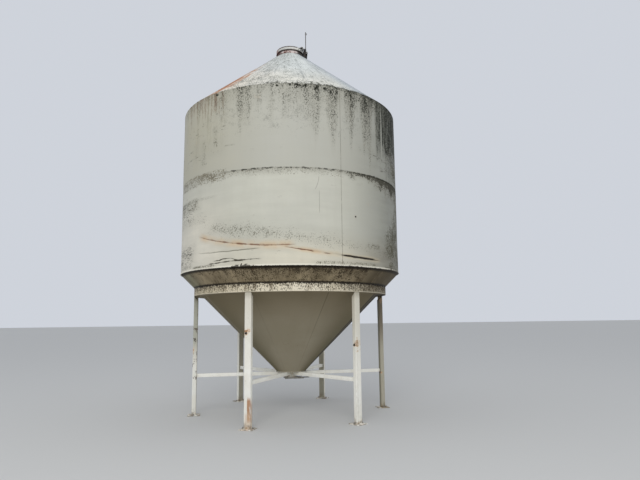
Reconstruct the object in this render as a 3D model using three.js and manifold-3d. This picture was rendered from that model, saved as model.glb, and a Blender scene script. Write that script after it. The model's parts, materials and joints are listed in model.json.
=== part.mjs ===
// Smooth-walled grain silo with a hopper bottom, standing on six tube legs.
// Millimetres, +Z up. The origin is on the ground, under the middle of the silo.
// An azimuth is in degrees from the front (-Y), turning towards the right (+X).
// A radial piece is made at azimuth 0, where outwards is -Y and sideways is X, and is then turned.

import * as THREE from 'three';
import { mergeVertices } from 'three/addons/utils/BufferGeometryUtils.js';
import Module from 'manifold-3d';

const wasm = await Module();
wasm.setup();

// General
const GAP = 0.3;
const SHELL_SIDES = 72;
const COLLAR_SIDES = 48;
const PIN_SIDES = 20;

// Wall, roof and hopper, all of one plate thickness
const PLATE = 3;
const SHELL_RADIUS = 2134;
const WALL_FOOT = 2613;
const LOWER_COURSE = 1630;
const UPPER_COURSE = 1474;
const ROOF_PITCH = THREE.MathUtils.degToRad(39.5);
const HOPPER_TOP = 2616;
const DRIP_WIDTH = 10;
const DRIP_HEIGHT = 26;

// Flat floor at the hopper's foot, and the outlet spout under it with its slide gate
const HOPPER_FOOT = 764;
const HOPPER_FOOT_RADIUS = 280;
const FLOOR_RADIUS = 290;
const FLOOR_THICK = 6;
const OUTLET_RADIUS = 105;
const OUTLET_WALL = 4;
const FLANGE_HALF = 135;
const FLANGE_TOP = 652;
const FLANGE_THICK = 8;
const RAIL_WEB = 6;
const RAIL_LIP = 30;
const RAIL_DEPTH = 20;
const RAIL_REAR = -135;
const RAIL_FRONT = 230;
const GATE_THICK = 8;
const GATE_SEAT = 0.5;
const GATE_SIDE_CLEARANCE = 6;
const GATE_REAR = -118;
const GATE_LENGTH = 350;
const HANDLE_WIDTH = 110;
const HANDLE_REACH = 120;
const HANDLE_BAR = 14;

// Ring round the hopper that stands on the legs: an upright band on a flat soffit
const RING_RADIUS = 1876;
const RING_FOOT = 2203;
const RING_PLATE = 6;

// Legs, their foot plates and top gussets, and the ties between legs and outlet
const LEG_COUNT = 6;
const FIRST_LEG_AZIMUTH = -30;
const LEG_WIDTH = 120;
const LEG_DEPTH = 80;
const LEG_WALL = 5;
const LEG_CORNER = 12;
const LEG_CORNER_STEPS = 3;
const FOOT_SIZE = 230;
const FOOT_THICK = 12;
const GUSSET_THICK = 12;
const TIE_SIZE = 64;
const TIE_WALL = 4;

// Fill collar on the peak, and its hinged lid with the opener lever
const COLLAR_RADIUS = 276;
const COLLAR_FOOT = 7200;
const COLLAR_TOP = 7394;
const LID_RADIUS = 288;
const LID_SKIRT = 78;
const LID_BEAD = 4;
const LID_BEAD_HEIGHT = 10;
const HINGE_AZIMUTH = 60;
const HINGE_RADIUS = 357;
const HINGE_HEIGHT = 7345;
const PIN_RADIUS = 10;
const BARREL_RADIUS = 16;
const BARREL_LENGTH = 80;
const HINGE_CLEARANCE = 5;
const EAR_THICK = 8;
const EAR_INNER_RADIUS = 300;
const EAR_OUTER_RADIUS = 368;
const EAR_RISE = 26;
const STRAP_WIDTH = 40;
const STRAP_THICK = 8;
const STRAP_INNER_END = 40;
const LEVER_RADIUS = 8;
const LEVER_SIDES = 12;
const LEVER_TIP = 7790;
const LUG_HEIGHT = 7742;
const LUG_RADIUS = 22;
const LUG_THICK = 10;

// Heights and slopes that follow from them
const MID_SEAM = WALL_FOOT + LOWER_COURSE;
const EAVE = MID_SEAM + UPPER_COURSE;
const HOPPER_RADIUS = SHELL_RADIUS - PLATE - GAP;
const HOPPER_SLOPE = (HOPPER_TOP - HOPPER_FOOT) / (HOPPER_RADIUS - HOPPER_FOOT_RADIUS);
const FLOOR_TOP = HOPPER_FOOT - GAP;
const FLOOR_FOOT = FLOOR_TOP - FLOOR_THICK;
const OUTLET_TOP = FLOOR_FOOT - GAP;
const TIE_TOP = FLOOR_FOOT - GAP;
const FLANGE_FOOT = FLANGE_TOP - FLANGE_THICK;
const RAIL_TOP = FLANGE_FOOT - GAP;
const RAIL_LIP_TOP = RAIL_TOP - RAIL_DEPTH + RAIL_WEB;
const RAIL_INNER = FLANGE_HALF - RAIL_WEB;
const LEG_TOP = RING_FOOT - GAP;
const LEG_INNER_RADIUS = RING_RADIUS - LEG_DEPTH;
const LEG_MIDDLE_RADIUS = RING_RADIUS - LEG_DEPTH / 2;
const STRAP_FOOT = COLLAR_TOP + GAP + PLATE + GAP;

const roofHeight = (radius) => EAVE + GAP + (SHELL_RADIUS - radius) * Math.tan(ROOF_PITCH);
const hopperRadius = (height) => HOPPER_FOOT_RADIUS + (height - HOPPER_FOOT) / HOPPER_SLOPE;
const hopperHeight = (radius) => HOPPER_FOOT + (radius - HOPPER_FOOT_RADIUS) * HOPPER_SLOPE;

const paint = (color, roughness, metalness) => new THREE.MeshStandardMaterial({ color, roughness, metalness });
const shellPaint = paint(0xb9b8ad, 0.6, 0);
const roofPaint = paint(0xc4c6c3, 0.6, 0);
const hopperPaint = paint(0x8d8674, 0.7, 0);
const legPaint = paint(0xd6d4ca, 0.55, 0);
const darkSteel = paint(0x35322e, 0.7, 0.6);
const wornSteel = paint(0x77736a, 0.6, 0.7);

const silo = new THREE.Group();

function addPiece(name, geometry, material, azimuth = 0) {
  const piece = new THREE.Mesh(geometry, material);
  piece.name = name;
  piece.rotation.z = THREE.MathUtils.degToRad(azimuth);
  silo.add(piece);
  return piece;
}

// A closed [radius, height] outline turned about the Z axis.
function turned(outline, sides) {
  const points = outline.map(([radius, height]) => new THREE.Vector2(radius, height));
  if (outline[0][0] > 0) points.push(points[0].clone());
  const geometry = new THREE.LatheGeometry(points, sides);
  geometry.rotateX(Math.PI / 2);
  return geometry;
}

function outlineShape(points) {
  return new THREE.Shape(points.map(([x, y]) => new THREE.Vector2(x, y)));
}

function circlePath(x, y, radius, sides) {
  const path = new THREE.Path();
  for (let i = 0; i < sides; i += 1) {
    const angle = (i / sides) * 2 * Math.PI;
    const point = [x + radius * Math.cos(angle), y + radius * Math.sin(angle)];
    if (i === 0) path.moveTo(...point);
    else path.lineTo(...point);
  }
  path.closePath();
  return path;
}

function flatPlate(shape, bottom, thickness, curveSegments = COLLAR_SIDES / 4) {
  const geometry = new THREE.ExtrudeGeometry(shape, { depth: thickness, bevelEnabled: false, curveSegments });
  geometry.translate(0, 0, bottom);
  return geometry;
}

// A shape drawn as [radius, height], given a width sideways about azimuth 0.
function radialPlate(shape, width, sideways = 0) {
  const geometry = new THREE.ExtrudeGeometry(shape, { depth: width, bevelEnabled: false });
  const basis = new THREE.Matrix4().makeBasis(
    new THREE.Vector3(0, -1, 0),
    new THREE.Vector3(0, 0, 1),
    new THREE.Vector3(-1, 0, 0),
  );
  geometry.applyMatrix4(basis);
  geometry.translate(width / 2 + sideways, 0, 0);
  return geometry;
}

// A round bar or tube lying sideways at a given radius and height.
function crossBar(radius, boreRadius, length) {
  const shape = new THREE.Shape(circlePath(0, 0, radius, PIN_SIDES).getPoints());
  if (boreRadius > 0) shape.holes.push(circlePath(0, 0, boreRadius, PIN_SIDES));
  const geometry = radialPlate(shape, length);
  geometry.translate(0, -HINGE_RADIUS, HINGE_HEIGHT);
  return geometry;
}

function toSolid(geometry) {
  const bare = geometry.clone();
  bare.deleteAttribute('normal');
  bare.deleteAttribute('uv');
  const merged = mergeVertices(bare, 1e-4);
  return new wasm.Manifold(new wasm.Mesh({
    numProp: 3,
    vertProperties: new Float32Array(merged.attributes.position.array),
    triVerts: new Uint32Array(merged.index.array),
  }));
}

function fromSolid(solid) {
  const mesh = solid.getMesh();
  const geometry = new THREE.BufferGeometry();
  geometry.setAttribute('position', new THREE.BufferAttribute(mesh.vertProperties, 3));
  geometry.setIndex(new THREE.BufferAttribute(mesh.triVerts, 1));
  geometry.computeVertexNormals();
  return geometry;
}

// An upright box tube at azimuth 0, its top cut at 45 degrees so that the outer face is the tallest.
function mitredPost(inset, bottom, top) {
  const halfWidth = LEG_WIDTH / 2 - inset;
  const outer = -RING_RADIUS + inset;
  const inner = -LEG_INNER_RADIUS - inset;
  const corner = LEG_CORNER - inset;
  const shape = new THREE.Shape();
  shape.moveTo(-halfWidth + corner, outer);
  shape.lineTo(halfWidth - corner, outer);
  shape.absarc(halfWidth - corner, outer + corner, corner, -Math.PI / 2, 0);
  shape.lineTo(halfWidth, inner - corner);
  shape.absarc(halfWidth - corner, inner - corner, corner, 0, Math.PI / 2);
  shape.lineTo(-halfWidth + corner, inner);
  shape.absarc(-halfWidth + corner, inner - corner, corner, Math.PI / 2, Math.PI);
  shape.lineTo(-halfWidth, outer + corner);
  shape.absarc(-halfWidth + corner, outer + corner, corner, Math.PI, 1.5 * Math.PI);
  const geometry = flatPlate(shape, bottom, top - bottom, LEG_CORNER_STEPS);
  const position = geometry.attributes.position;
  const middle = (bottom + top) / 2;
  for (let i = 0; i < position.count; i += 1) {
    if (position.getZ(i) > middle) position.setZ(i, top - (position.getY(i) + RING_RADIUS));
  }
  return geometry;
}

function addWall() {
  const course = (bottom, top) => turned([
    [SHELL_RADIUS - PLATE, bottom],
    [SHELL_RADIUS, bottom],
    [SHELL_RADIUS, top],
    [SHELL_RADIUS - PLATE, top],
  ], SHELL_SIDES);
  addPiece('wall_lower_course', course(WALL_FOOT, MID_SEAM - GAP), shellPaint);
  addPiece('wall_upper_course', course(MID_SEAM, EAVE), shellPaint);
  const lipInner = SHELL_RADIUS + GAP;
  const lipFoot = WALL_FOOT - PLATE;
  addPiece('wall_drip_lip', turned([
    [lipInner, lipFoot],
    [lipInner + DRIP_WIDTH, lipFoot],
    [lipInner + DRIP_WIDTH, lipFoot + DRIP_HEIGHT / 2],
    [lipInner, lipFoot + DRIP_HEIGHT],
  ], SHELL_SIDES), shellPaint);
}

function addRoof() {
  const hole = COLLAR_RADIUS + GAP;
  addPiece('roof_cone', turned([
    [SHELL_RADIUS - PLATE / Math.sin(ROOF_PITCH), roofHeight(SHELL_RADIUS)],
    [SHELL_RADIUS, roofHeight(SHELL_RADIUS)],
    [hole, roofHeight(hole)],
    [hole, roofHeight(hole) - PLATE / Math.cos(ROOF_PITCH)],
  ], SHELL_SIDES), roofPaint);
  addPiece('fill_collar', turned([
    [COLLAR_RADIUS - PLATE, COLLAR_FOOT],
    [COLLAR_RADIUS, COLLAR_FOOT],
    [COLLAR_RADIUS, COLLAR_TOP],
    [COLLAR_RADIUS - PLATE, COLLAR_TOP],
  ], COLLAR_SIDES), roofPaint);
}

function addLid() {
  const under = COLLAR_TOP + GAP;
  const skirtFoot = under - LID_SKIRT;
  addPiece('lid_cap', turned([
    [0, under],
    [LID_RADIUS - PLATE, under],
    [LID_RADIUS - PLATE, skirtFoot],
    [LID_RADIUS + LID_BEAD, skirtFoot],
    [LID_RADIUS + LID_BEAD, skirtFoot + LID_BEAD_HEIGHT],
    [LID_RADIUS, skirtFoot + LID_BEAD_HEIGHT],
    [LID_RADIUS, under + PLATE],
    [0, under + PLATE],
  ], COLLAR_SIDES), roofPaint);

  const webFoot = HINGE_HEIGHT + BARREL_RADIUS + GAP;
  const strapTop = STRAP_FOOT + STRAP_THICK;
  const strap = outlineShape([
    [STRAP_INNER_END, STRAP_FOOT],
    [HINGE_RADIUS - STRAP_THICK, STRAP_FOOT],
    [HINGE_RADIUS - STRAP_THICK, webFoot],
    [HINGE_RADIUS + STRAP_THICK, webFoot],
    [HINGE_RADIUS + STRAP_THICK, strapTop],
    [STRAP_INNER_END, strapTop],
  ]);
  addPiece('lid_strap', radialPlate(strap, STRAP_WIDTH), darkSteel, HINGE_AZIMUTH);
  addPiece('lid_hinge_barrel', crossBar(BARREL_RADIUS, PIN_RADIUS + GAP, BARREL_LENGTH), darkSteel, HINGE_AZIMUTH);

  const leverFoot = strapTop + GAP;
  const lever = new THREE.CylinderGeometry(LEVER_RADIUS, LEVER_RADIUS, LEVER_TIP - leverFoot, LEVER_SIDES);
  lever.rotateX(Math.PI / 2);
  lever.translate(0, -HINGE_RADIUS, (LEVER_TIP + leverFoot) / 2);
  const lug = new THREE.CylinderGeometry(LUG_RADIUS, LUG_RADIUS, LUG_THICK, PIN_SIDES);
  lug.rotateZ(Math.PI / 2);
  lug.translate(0, -HINGE_RADIUS - LEVER_RADIUS, LUG_HEIGHT);
  const leverWithLug = fromSolid(toSolid(lever).add(toSolid(lug)));
  addPiece('lid_opener_lever', leverWithLug, darkSteel, HINGE_AZIMUTH);
}

function addLidHinge() {
  const earOutline = [
    [EAR_INNER_RADIUS, roofHeight(EAR_INNER_RADIUS) + GAP * 1.5],
    [EAR_OUTER_RADIUS, roofHeight(EAR_OUTER_RADIUS) + GAP * 1.5],
    [EAR_OUTER_RADIUS, roofHeight(EAR_OUTER_RADIUS) + EAR_RISE * 2],
    [HINGE_RADIUS + EAR_RISE, HINGE_HEIGHT + EAR_RISE / 2],
    [HINGE_RADIUS + EAR_RISE / 2, HINGE_HEIGHT + EAR_RISE],
    [HINGE_RADIUS - EAR_RISE / 2, HINGE_HEIGHT + EAR_RISE],
    [HINGE_RADIUS - EAR_RISE, HINGE_HEIGHT + EAR_RISE / 2],
    [EAR_INNER_RADIUS, roofHeight(EAR_INNER_RADIUS) + EAR_RISE],
  ];
  const earOffset = BARREL_LENGTH / 2 + HINGE_CLEARANCE + EAR_THICK / 2;
  const base = outlineShape([
    [EAR_INNER_RADIUS, roofHeight(EAR_INNER_RADIUS) + GAP * 1.5],
    [EAR_OUTER_RADIUS, roofHeight(EAR_OUTER_RADIUS) + GAP * 1.5],
    [EAR_OUTER_RADIUS, roofHeight(EAR_OUTER_RADIUS) + EAR_THICK],
    [EAR_INNER_RADIUS, roofHeight(EAR_INNER_RADIUS) + EAR_THICK],
  ]);
  let bracket = toSolid(radialPlate(base, 2 * earOffset));
  for (const side of [-1, 1]) {
    const shape = outlineShape(earOutline);
    shape.holes.push(circlePath(HINGE_RADIUS, HINGE_HEIGHT, PIN_RADIUS + GAP, PIN_SIDES));
    bracket = bracket.add(toSolid(radialPlate(shape, EAR_THICK, side * earOffset)));
  }
  addPiece('lid_hinge_bracket', fromSolid(bracket), darkSteel, HINGE_AZIMUTH);
  const pinLength = 2 * (earOffset + EAR_THICK);
  addPiece('lid_hinge_pin', crossBar(PIN_RADIUS, 0, pinLength), wornSteel, HINGE_AZIMUTH);
}

function addHopper() {
  const across = PLATE / Math.sin(Math.atan(HOPPER_SLOPE));
  addPiece('hopper_cone', turned([
    [HOPPER_FOOT_RADIUS - across, HOPPER_FOOT],
    [HOPPER_FOOT_RADIUS, HOPPER_FOOT],
    [HOPPER_RADIUS, HOPPER_TOP],
    [HOPPER_RADIUS - across, HOPPER_TOP],
  ], SHELL_SIDES), hopperPaint);
  addPiece('hopper_floor', turned([
    [OUTLET_RADIUS - OUTLET_WALL, FLOOR_FOOT],
    [FLOOR_RADIUS, FLOOR_FOOT],
    [FLOOR_RADIUS, FLOOR_TOP],
    [OUTLET_RADIUS - OUTLET_WALL, FLOOR_TOP],
  ], COLLAR_SIDES), hopperPaint);

  const bandInner = RING_RADIUS - RING_PLATE;
  const soffitTop = RING_FOOT + RING_PLATE;
  addPiece('support_ring_band', turned([
    [bandInner, soffitTop + GAP],
    [RING_RADIUS, soffitTop + GAP],
    [RING_RADIUS, hopperHeight(bandInner - 2 * GAP)],
    [bandInner, hopperHeight(bandInner - 2 * GAP)],
  ], SHELL_SIDES), shellPaint);
  addPiece('support_ring_soffit', turned([
    [hopperRadius(RING_FOOT) + 2 * GAP, RING_FOOT],
    [RING_RADIUS, RING_FOOT],
    [RING_RADIUS, soffitTop],
    [hopperRadius(soffitTop) + 2 * GAP, soffitTop],
  ], SHELL_SIDES), hopperPaint);
}

function addLegs() {
  const post = toSolid(mitredPost(0, FOOT_THICK + GAP, LEG_TOP));
  const bore = toSolid(mitredPost(LEG_WALL, FOOT_THICK - LEG_WALL, LEG_TOP - LEG_WALL));
  const leg = fromSolid(post.subtract(bore));

  const foot = new THREE.BoxGeometry(FOOT_SIZE, FOOT_SIZE, FOOT_THICK);
  foot.translate(0, -LEG_MIDDLE_RADIUS, FOOT_THICK / 2);

  const lift = GAP * Math.SQRT2;
  const gusset = radialPlate(outlineShape([
    [LEG_INNER_RADIUS, LEG_TOP - LEG_DEPTH + lift],
    [RING_RADIUS - lift, LEG_TOP],
    [LEG_INNER_RADIUS, LEG_TOP],
  ]), GUSSET_THICK);

  const tieStart = OUTLET_RADIUS + GAP;
  const tieEnd = LEG_INNER_RADIUS - GAP;
  const half = TIE_SIZE / 2;
  const square = (size) => [[-size, -size], [size, -size], [size, size], [-size, size]];
  const tieSection = outlineShape(square(half));
  tieSection.holes.push(outlineShape(square(half - TIE_WALL)));
  const tie = flatPlate(tieSection, tieStart, tieEnd - tieStart);
  tie.rotateX(Math.PI / 2);
  tie.translate(0, 0, TIE_TOP - half);

  for (let i = 0; i < LEG_COUNT; i += 1) {
    const azimuth = FIRST_LEG_AZIMUTH + (i * 360) / LEG_COUNT;
    addPiece(`leg_${i + 1}`, leg, legPaint, azimuth);
    addPiece(`leg_foot_plate_${i + 1}`, foot, legPaint, azimuth);
    addPiece(`leg_top_gusset_${i + 1}`, gusset, legPaint, azimuth);
    addPiece(`leg_tie_${i + 1}`, tie, legPaint, azimuth);
  }
}

function addOutlet() {
  addPiece('outlet_collar', turned([
    [OUTLET_RADIUS - OUTLET_WALL, FLANGE_TOP + GAP],
    [OUTLET_RADIUS, FLANGE_TOP + GAP],
    [OUTLET_RADIUS, OUTLET_TOP],
    [OUTLET_RADIUS - OUTLET_WALL, OUTLET_TOP],
  ], COLLAR_SIDES), hopperPaint);

  const flange = outlineShape([
    [-FLANGE_HALF, -FLANGE_HALF],
    [FLANGE_HALF, -FLANGE_HALF],
    [FLANGE_HALF, FLANGE_HALF],
    [-FLANGE_HALF, FLANGE_HALF],
  ]);
  flange.holes.push(circlePath(0, 0, OUTLET_RADIUS - OUTLET_WALL, COLLAR_SIDES));
  addPiece('outlet_flange', flatPlate(flange, FLANGE_FOOT, FLANGE_THICK), wornSteel);

  // Each rail is an angle that hangs from the flange, its lip turned inwards under the gate.
  const railFoot = RAIL_LIP_TOP - RAIL_WEB;
  const railOutline = [
    [RAIL_INNER + RAIL_WEB - RAIL_LIP, railFoot],
    [FLANGE_HALF, railFoot],
    [FLANGE_HALF, RAIL_TOP],
    [RAIL_INNER, RAIL_TOP],
    [RAIL_INNER, RAIL_LIP_TOP],
    [RAIL_INNER + RAIL_WEB - RAIL_LIP, RAIL_LIP_TOP],
  ];
  const railMiddle = (RAIL_REAR + RAIL_FRONT) / 2;
  addPiece('gate_rail_front', radialPlate(outlineShape(railOutline), RAIL_FRONT - RAIL_REAR, railMiddle), wornSteel);
  addPiece('gate_rail_back', radialPlate(outlineShape(railOutline), RAIL_FRONT - RAIL_REAR, -railMiddle),
    wornSteel, 180);

  const stopLength = 2 * (RAIL_INNER - GAP);
  const stop = new THREE.BoxGeometry(RAIL_WEB, stopLength, RAIL_TOP - RAIL_LIP_TOP - GAP);
  stop.translate(RAIL_REAR + RAIL_WEB / 2, 0, (RAIL_TOP + RAIL_LIP_TOP + GAP) / 2);
  addPiece('gate_stop', stop, wornSteel);

  const gateFoot = RAIL_LIP_TOP + GATE_SEAT;
  const gate = new THREE.BoxGeometry(GATE_LENGTH, 2 * (RAIL_INNER - GATE_SIDE_CLEARANCE), GATE_THICK);
  gate.translate(GATE_REAR + GATE_LENGTH / 2, 0, gateFoot + GATE_THICK / 2);
  addPiece('slide_gate', gate, wornSteel);

  const gateEnd = GATE_REAR + GATE_LENGTH + GAP;
  const halfHandle = HANDLE_WIDTH / 2;
  const handle = outlineShape([
    [gateEnd, -halfHandle],
    [gateEnd + HANDLE_REACH, -halfHandle],
    [gateEnd + HANDLE_REACH, halfHandle],
    [gateEnd, halfHandle],
    [gateEnd, halfHandle - HANDLE_BAR],
    [gateEnd + HANDLE_REACH - HANDLE_BAR, halfHandle - HANDLE_BAR],
    [gateEnd + HANDLE_REACH - HANDLE_BAR, HANDLE_BAR - halfHandle],
    [gateEnd, HANDLE_BAR - halfHandle],
  ]);
  addPiece('slide_gate_handle', flatPlate(handle, gateFoot, GATE_THICK), darkSteel);
}

addWall();
addRoof();
addLid();
addLidHinge();
addHopper();
addLegs();
addOutlet();

export default silo;
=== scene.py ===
# %% [markdown]
# # A grain silo in old paint
# The silo is already built as exact solids: a wall of two plate courses, a cone roof with a lid, a hopper,
# a ring, six legs and a slide gate. This lesson gives it its looks. The paints come first, with the
# streaks, rust and dirt that thirty winters leave. Round shells are then turned again with many more steps,
# so that they read as rolled plate, and square steel gets rounded corners.

# %% Open the model that everything is fitted to
import json
import math
from types import SimpleNamespace

import bmesh
import bpy
from mathutils import Matrix, Vector, noise


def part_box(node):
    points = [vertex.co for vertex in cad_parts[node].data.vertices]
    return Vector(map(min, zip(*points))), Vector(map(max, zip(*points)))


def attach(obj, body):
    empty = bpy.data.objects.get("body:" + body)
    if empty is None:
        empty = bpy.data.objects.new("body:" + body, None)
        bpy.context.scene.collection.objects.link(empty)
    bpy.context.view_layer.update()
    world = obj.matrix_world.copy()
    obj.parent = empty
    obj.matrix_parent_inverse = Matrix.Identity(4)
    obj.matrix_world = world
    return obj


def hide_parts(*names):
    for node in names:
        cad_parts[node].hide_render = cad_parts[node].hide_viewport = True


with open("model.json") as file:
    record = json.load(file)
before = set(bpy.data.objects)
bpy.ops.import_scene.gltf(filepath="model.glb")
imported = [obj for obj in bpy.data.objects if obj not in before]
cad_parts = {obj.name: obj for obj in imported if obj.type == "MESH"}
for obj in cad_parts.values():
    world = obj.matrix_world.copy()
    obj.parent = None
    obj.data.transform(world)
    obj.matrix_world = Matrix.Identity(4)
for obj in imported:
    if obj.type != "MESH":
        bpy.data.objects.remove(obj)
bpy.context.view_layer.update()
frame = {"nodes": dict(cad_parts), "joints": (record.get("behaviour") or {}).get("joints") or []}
nodes = frame["nodes"]
scene = bpy.context.scene
print("The frame holds", len(nodes), "nodes")

# %% [markdown]
# ## The viewer's eye
# The view is from a little left of the silo's front, at eye height. The lens is wide and the camera is
# tipped up, which makes the upright wall lean inwards. A camera object could be aimed with a constraint,
# but three plain turns keep the roll of the hand-held picture.

# %% Stand the camera
EYE = Vector((-1.422, -10.638, 1.715))
LENS = 30.11
SENSOR_WIDTH = 36.0
FARTHEST = 800
PAN, PITCH, ROLL = (math.radians(angle) for angle in (-10.786, 8.606, -0.664))

camera = bpy.data.objects.new("camera", bpy.data.cameras.new("camera"))
camera.data.lens = LENS
camera.data.sensor_width = SENSOR_WIDTH
camera.data.clip_end = FARTHEST
aim = Matrix.Rotation(PAN, 4, "Z")
aim @= Matrix.Rotation(math.pi / 2 + PITCH, 4, "X")
aim @= Matrix.Rotation(ROLL, 4, "Z")
camera.matrix_world = Matrix.Translation(EYE) @ aim
scene.collection.objects.link(camera)
scene.camera = camera
print("Camera at", tuple(EYE), "with a lens of", LENS, "mm")

# %% [markdown]
# ## Tools for building materials
# A procedural material is a small machine of nodes. Wiring each one by hand fills pages, so one helper
# class adds a node, sets its values and joins it up. Every helper gives back the output socket, so that
# the steps read like a sum. Colours are written as a screen shows them and turned to linear light here.

# %% A bench for joining nodes
NODE_SPACING = 180
MIX_A, MIX_B, MIX_RESULT = 6, 7, 2


def tint(red, green, blue):
    """A screen colour, 0 to 255, as the linear colour that a shader works with."""
    def linear(level):
        share = level / 255
        return share / 12.92 if share <= 0.04045 else ((share + 0.055) / 1.055) ** 2.4
    return (linear(red), linear(green), linear(blue), 1.0)


class NodeBench:
    """Puts nodes on a material's or a group's tree and joins them up."""

    def __init__(self, tree):
        self.tree = tree

    def add(self, kind, **settings):
        node = self.tree.nodes.new(kind)
        node.location.x = NODE_SPACING * len(self.tree.nodes)
        for name, value in settings.items():
            setattr(node, name, value)
        return node

    def feed(self, socket, value):
        if isinstance(value, bpy.types.NodeSocket):
            self.tree.links.new(value, socket)
        else:
            socket.default_value = value

    def math(self, operation, *values, clamp=False):
        node = self.add("ShaderNodeMath", operation=operation, use_clamp=clamp)
        for socket, value in zip(node.inputs, values):
            self.feed(socket, value)
        return node.outputs[0]

    def times(self, *values):
        result = values[0]
        for value in values[1:]:
            result = self.math("MULTIPLY", result, value)
        return result

    def most(self, *values):
        result = values[0]
        for value in values[1:]:
            result = self.math("MAXIMUM", result, value)
        return result

    def ramp(self, value, low, high, to_low=0.0, to_high=1.0):
        """Rises smoothly from to_low at low to to_high at high, and falls if low is the larger."""
        node = self.add("ShaderNodeMapRange", interpolation_type="SMOOTHSTEP")
        for name, number in (("Value", value), ("From Min", low), ("From Max", high),
                             ("To Min", to_low), ("To Max", to_high)):
            self.feed(node.inputs[name], number)
        return node.outputs[0]

    def window(self, value, low, high, soft):
        """1 from low to high, and 0 beyond soft outside them."""
        return self.times(self.ramp(value, low - soft, low), self.ramp(value, high + soft, high))

    def line(self, value, middle, width):
        """1 on the middle and 0 from width outwards."""
        gap = self.math("ABSOLUTE", self.math("SUBTRACT", value, middle))
        return self.ramp(gap, width, 0.0)

    def curve(self, value, low, high, points, top=1.0):
        """A height drawn over value by a few points, each (value, height from 0 to top)."""
        node = self.add("ShaderNodeFloatCurve")
        share = self.math("DIVIDE", self.math("SUBTRACT", value, low), high - low, clamp=True)
        self.feed(node.inputs["Value"], share)
        line = node.mapping.curves[0]
        while len(line.points) < len(points):
            line.points.new(0.5, 0.5)
        for knot, (at, height) in zip(line.points, sorted(points)):
            knot.location = ((at - low) / (high - low), height / top)
            knot.handle_type = "AUTO_CLAMPED"
        node.mapping.update()
        return self.math("MULTIPLY", node.outputs[0], top)

    def stretch(self, place, scale, shift=(0.0, 0.0, 0.0)):
        node = self.add("ShaderNodeMapping")
        self.feed(node.inputs["Vector"], place)
        node.inputs["Scale"].default_value = scale
        node.inputs["Location"].default_value = shift
        return node.outputs[0]

    def noise(self, place, scale, detail=4.0, rough=0.6):
        node = self.add("ShaderNodeTexNoise")
        self.feed(node.inputs["Vector"], place)
        self.feed(node.inputs["Scale"], scale)
        node.inputs["Detail"].default_value = detail
        node.inputs["Roughness"].default_value = rough
        return node.outputs[0]

    def mix(self, under, over, *masks):
        """Lays one colour over another, as far as the product of the masks says."""
        mask = self.times(*masks)
        node = self.add("ShaderNodeMix", data_type="RGBA")
        self.feed(node.inputs[0], mask)
        self.feed(node.inputs[MIX_A], under)
        self.feed(node.inputs[MIX_B], over)
        return node.outputs[MIX_RESULT]

    def use(self, group, **values):
        node = self.add("ShaderNodeGroup", node_tree=group)
        for name, value in values.items():
            self.feed(node.inputs[name], value)
        return node.outputs

    def spot(self, place, centre, radius):
        """1 at a point of the silo, fading to 0 at radius."""
        node = self.add("ShaderNodeVectorMath", operation="DISTANCE")
        self.feed(node.inputs[0], place)
        self.feed(node.inputs[1], centre)
        return self.ramp(node.outputs["Value"], radius, 0.0)


print("A node bench, with colours read by tint, such as cream", tint(200, 196, 182))

# %% [markdown]
# ## Shared effects as node groups
# Dirt on old paint comes in a few kinds: specks of algae, streaks where rain ran, soft cloudy staining,
# rust that blooms from a core, and bare metal along worn edges. Each is made once as a node group with
# named inputs. They are thresholds of noise: an Amount that changes over the surface decides how much
# of the noise passes, so one group serves a clean front and a filthy shaded side.

# %% Five effects that several paints use


def new_group(name, inputs, outputs):
    tree = bpy.data.node_groups.new(name, "ShaderNodeTree")
    for label, start in inputs.items():
        kind = "NodeSocketVector" if label == "Place" else "NodeSocketFloat"
        socket = tree.interface.new_socket(name=label, in_out="INPUT", socket_type=kind)
        socket.default_value = start
    for label in outputs:
        tree.interface.new_socket(name=label, in_out="OUTPUT", socket_type="NodeSocketFloat")
    bench = NodeBench(tree)
    return tree, bench, bench.add("NodeGroupInput").outputs, bench.add("NodeGroupOutput").inputs


def passing(bench, level, amount, none, all_of_it, contrast):
    """How far a level stands above a threshold that falls as the amount grows, and 0 for no amount."""
    threshold = bench.math("MULTIPLY_ADD", amount, all_of_it - none, none)
    mask = bench.math("MULTIPLY", bench.math("SUBTRACT", level, threshold), contrast, clamp=True)
    return bench.times(mask, bench.ramp(amount, 0.0, 0.12))


def speckle_group():
    inputs = {"Place": (0, 0, 0), "Scale": 40.0, "Amount": 0.5, "Patchy": 1.0}
    tree, bench, given, out = new_group("Speckle", inputs, ["Mask"])
    fine = bench.noise(given["Place"], given["Scale"], 4.0, 0.7)
    patch = bench.noise(given["Place"], bench.times(given["Scale"], 0.16), 2.0, 0.5)
    uneven = bench.times(bench.math("SUBTRACT", patch, 0.5), given["Patchy"], 0.3)
    level = bench.math("ADD", bench.math("MULTIPLY_ADD", fine, 0.7, 0.15), uneven)
    bench.feed(out["Mask"], passing(bench, level, given["Amount"], 0.68, 0.39, 18.0))
    return tree


def streak_group():
    tree, bench, given, out = new_group("Streaks", {"Place": (0, 0, 0), "Scale": 12.0, "Amount": 0.5}, ["Mask"])
    long_run = bench.stretch(given["Place"], (1.0, 1.0, 0.05))
    short_run = bench.stretch(given["Place"], (1.0, 1.0, 0.22))
    broad = bench.noise(long_run, given["Scale"], 4.0, 0.6)
    narrow = bench.noise(short_run, bench.times(given["Scale"], 3.5), 3.0, 0.7)
    level = bench.math("ADD", bench.times(broad, 0.6), bench.times(narrow, 0.4))
    bench.feed(out["Mask"], passing(bench, level, given["Amount"], 0.68, 0.38, 11.0))
    return tree


def mottle_group():
    tree, bench, given, out = new_group("Mottle", {"Place": (0, 0, 0), "Scale": 2.0}, ["Value"])
    cloud = bench.noise(given["Place"], given["Scale"], 5.0, 0.6)
    bench.feed(out["Value"], bench.ramp(cloud, 0.32, 0.68))
    return tree


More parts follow.
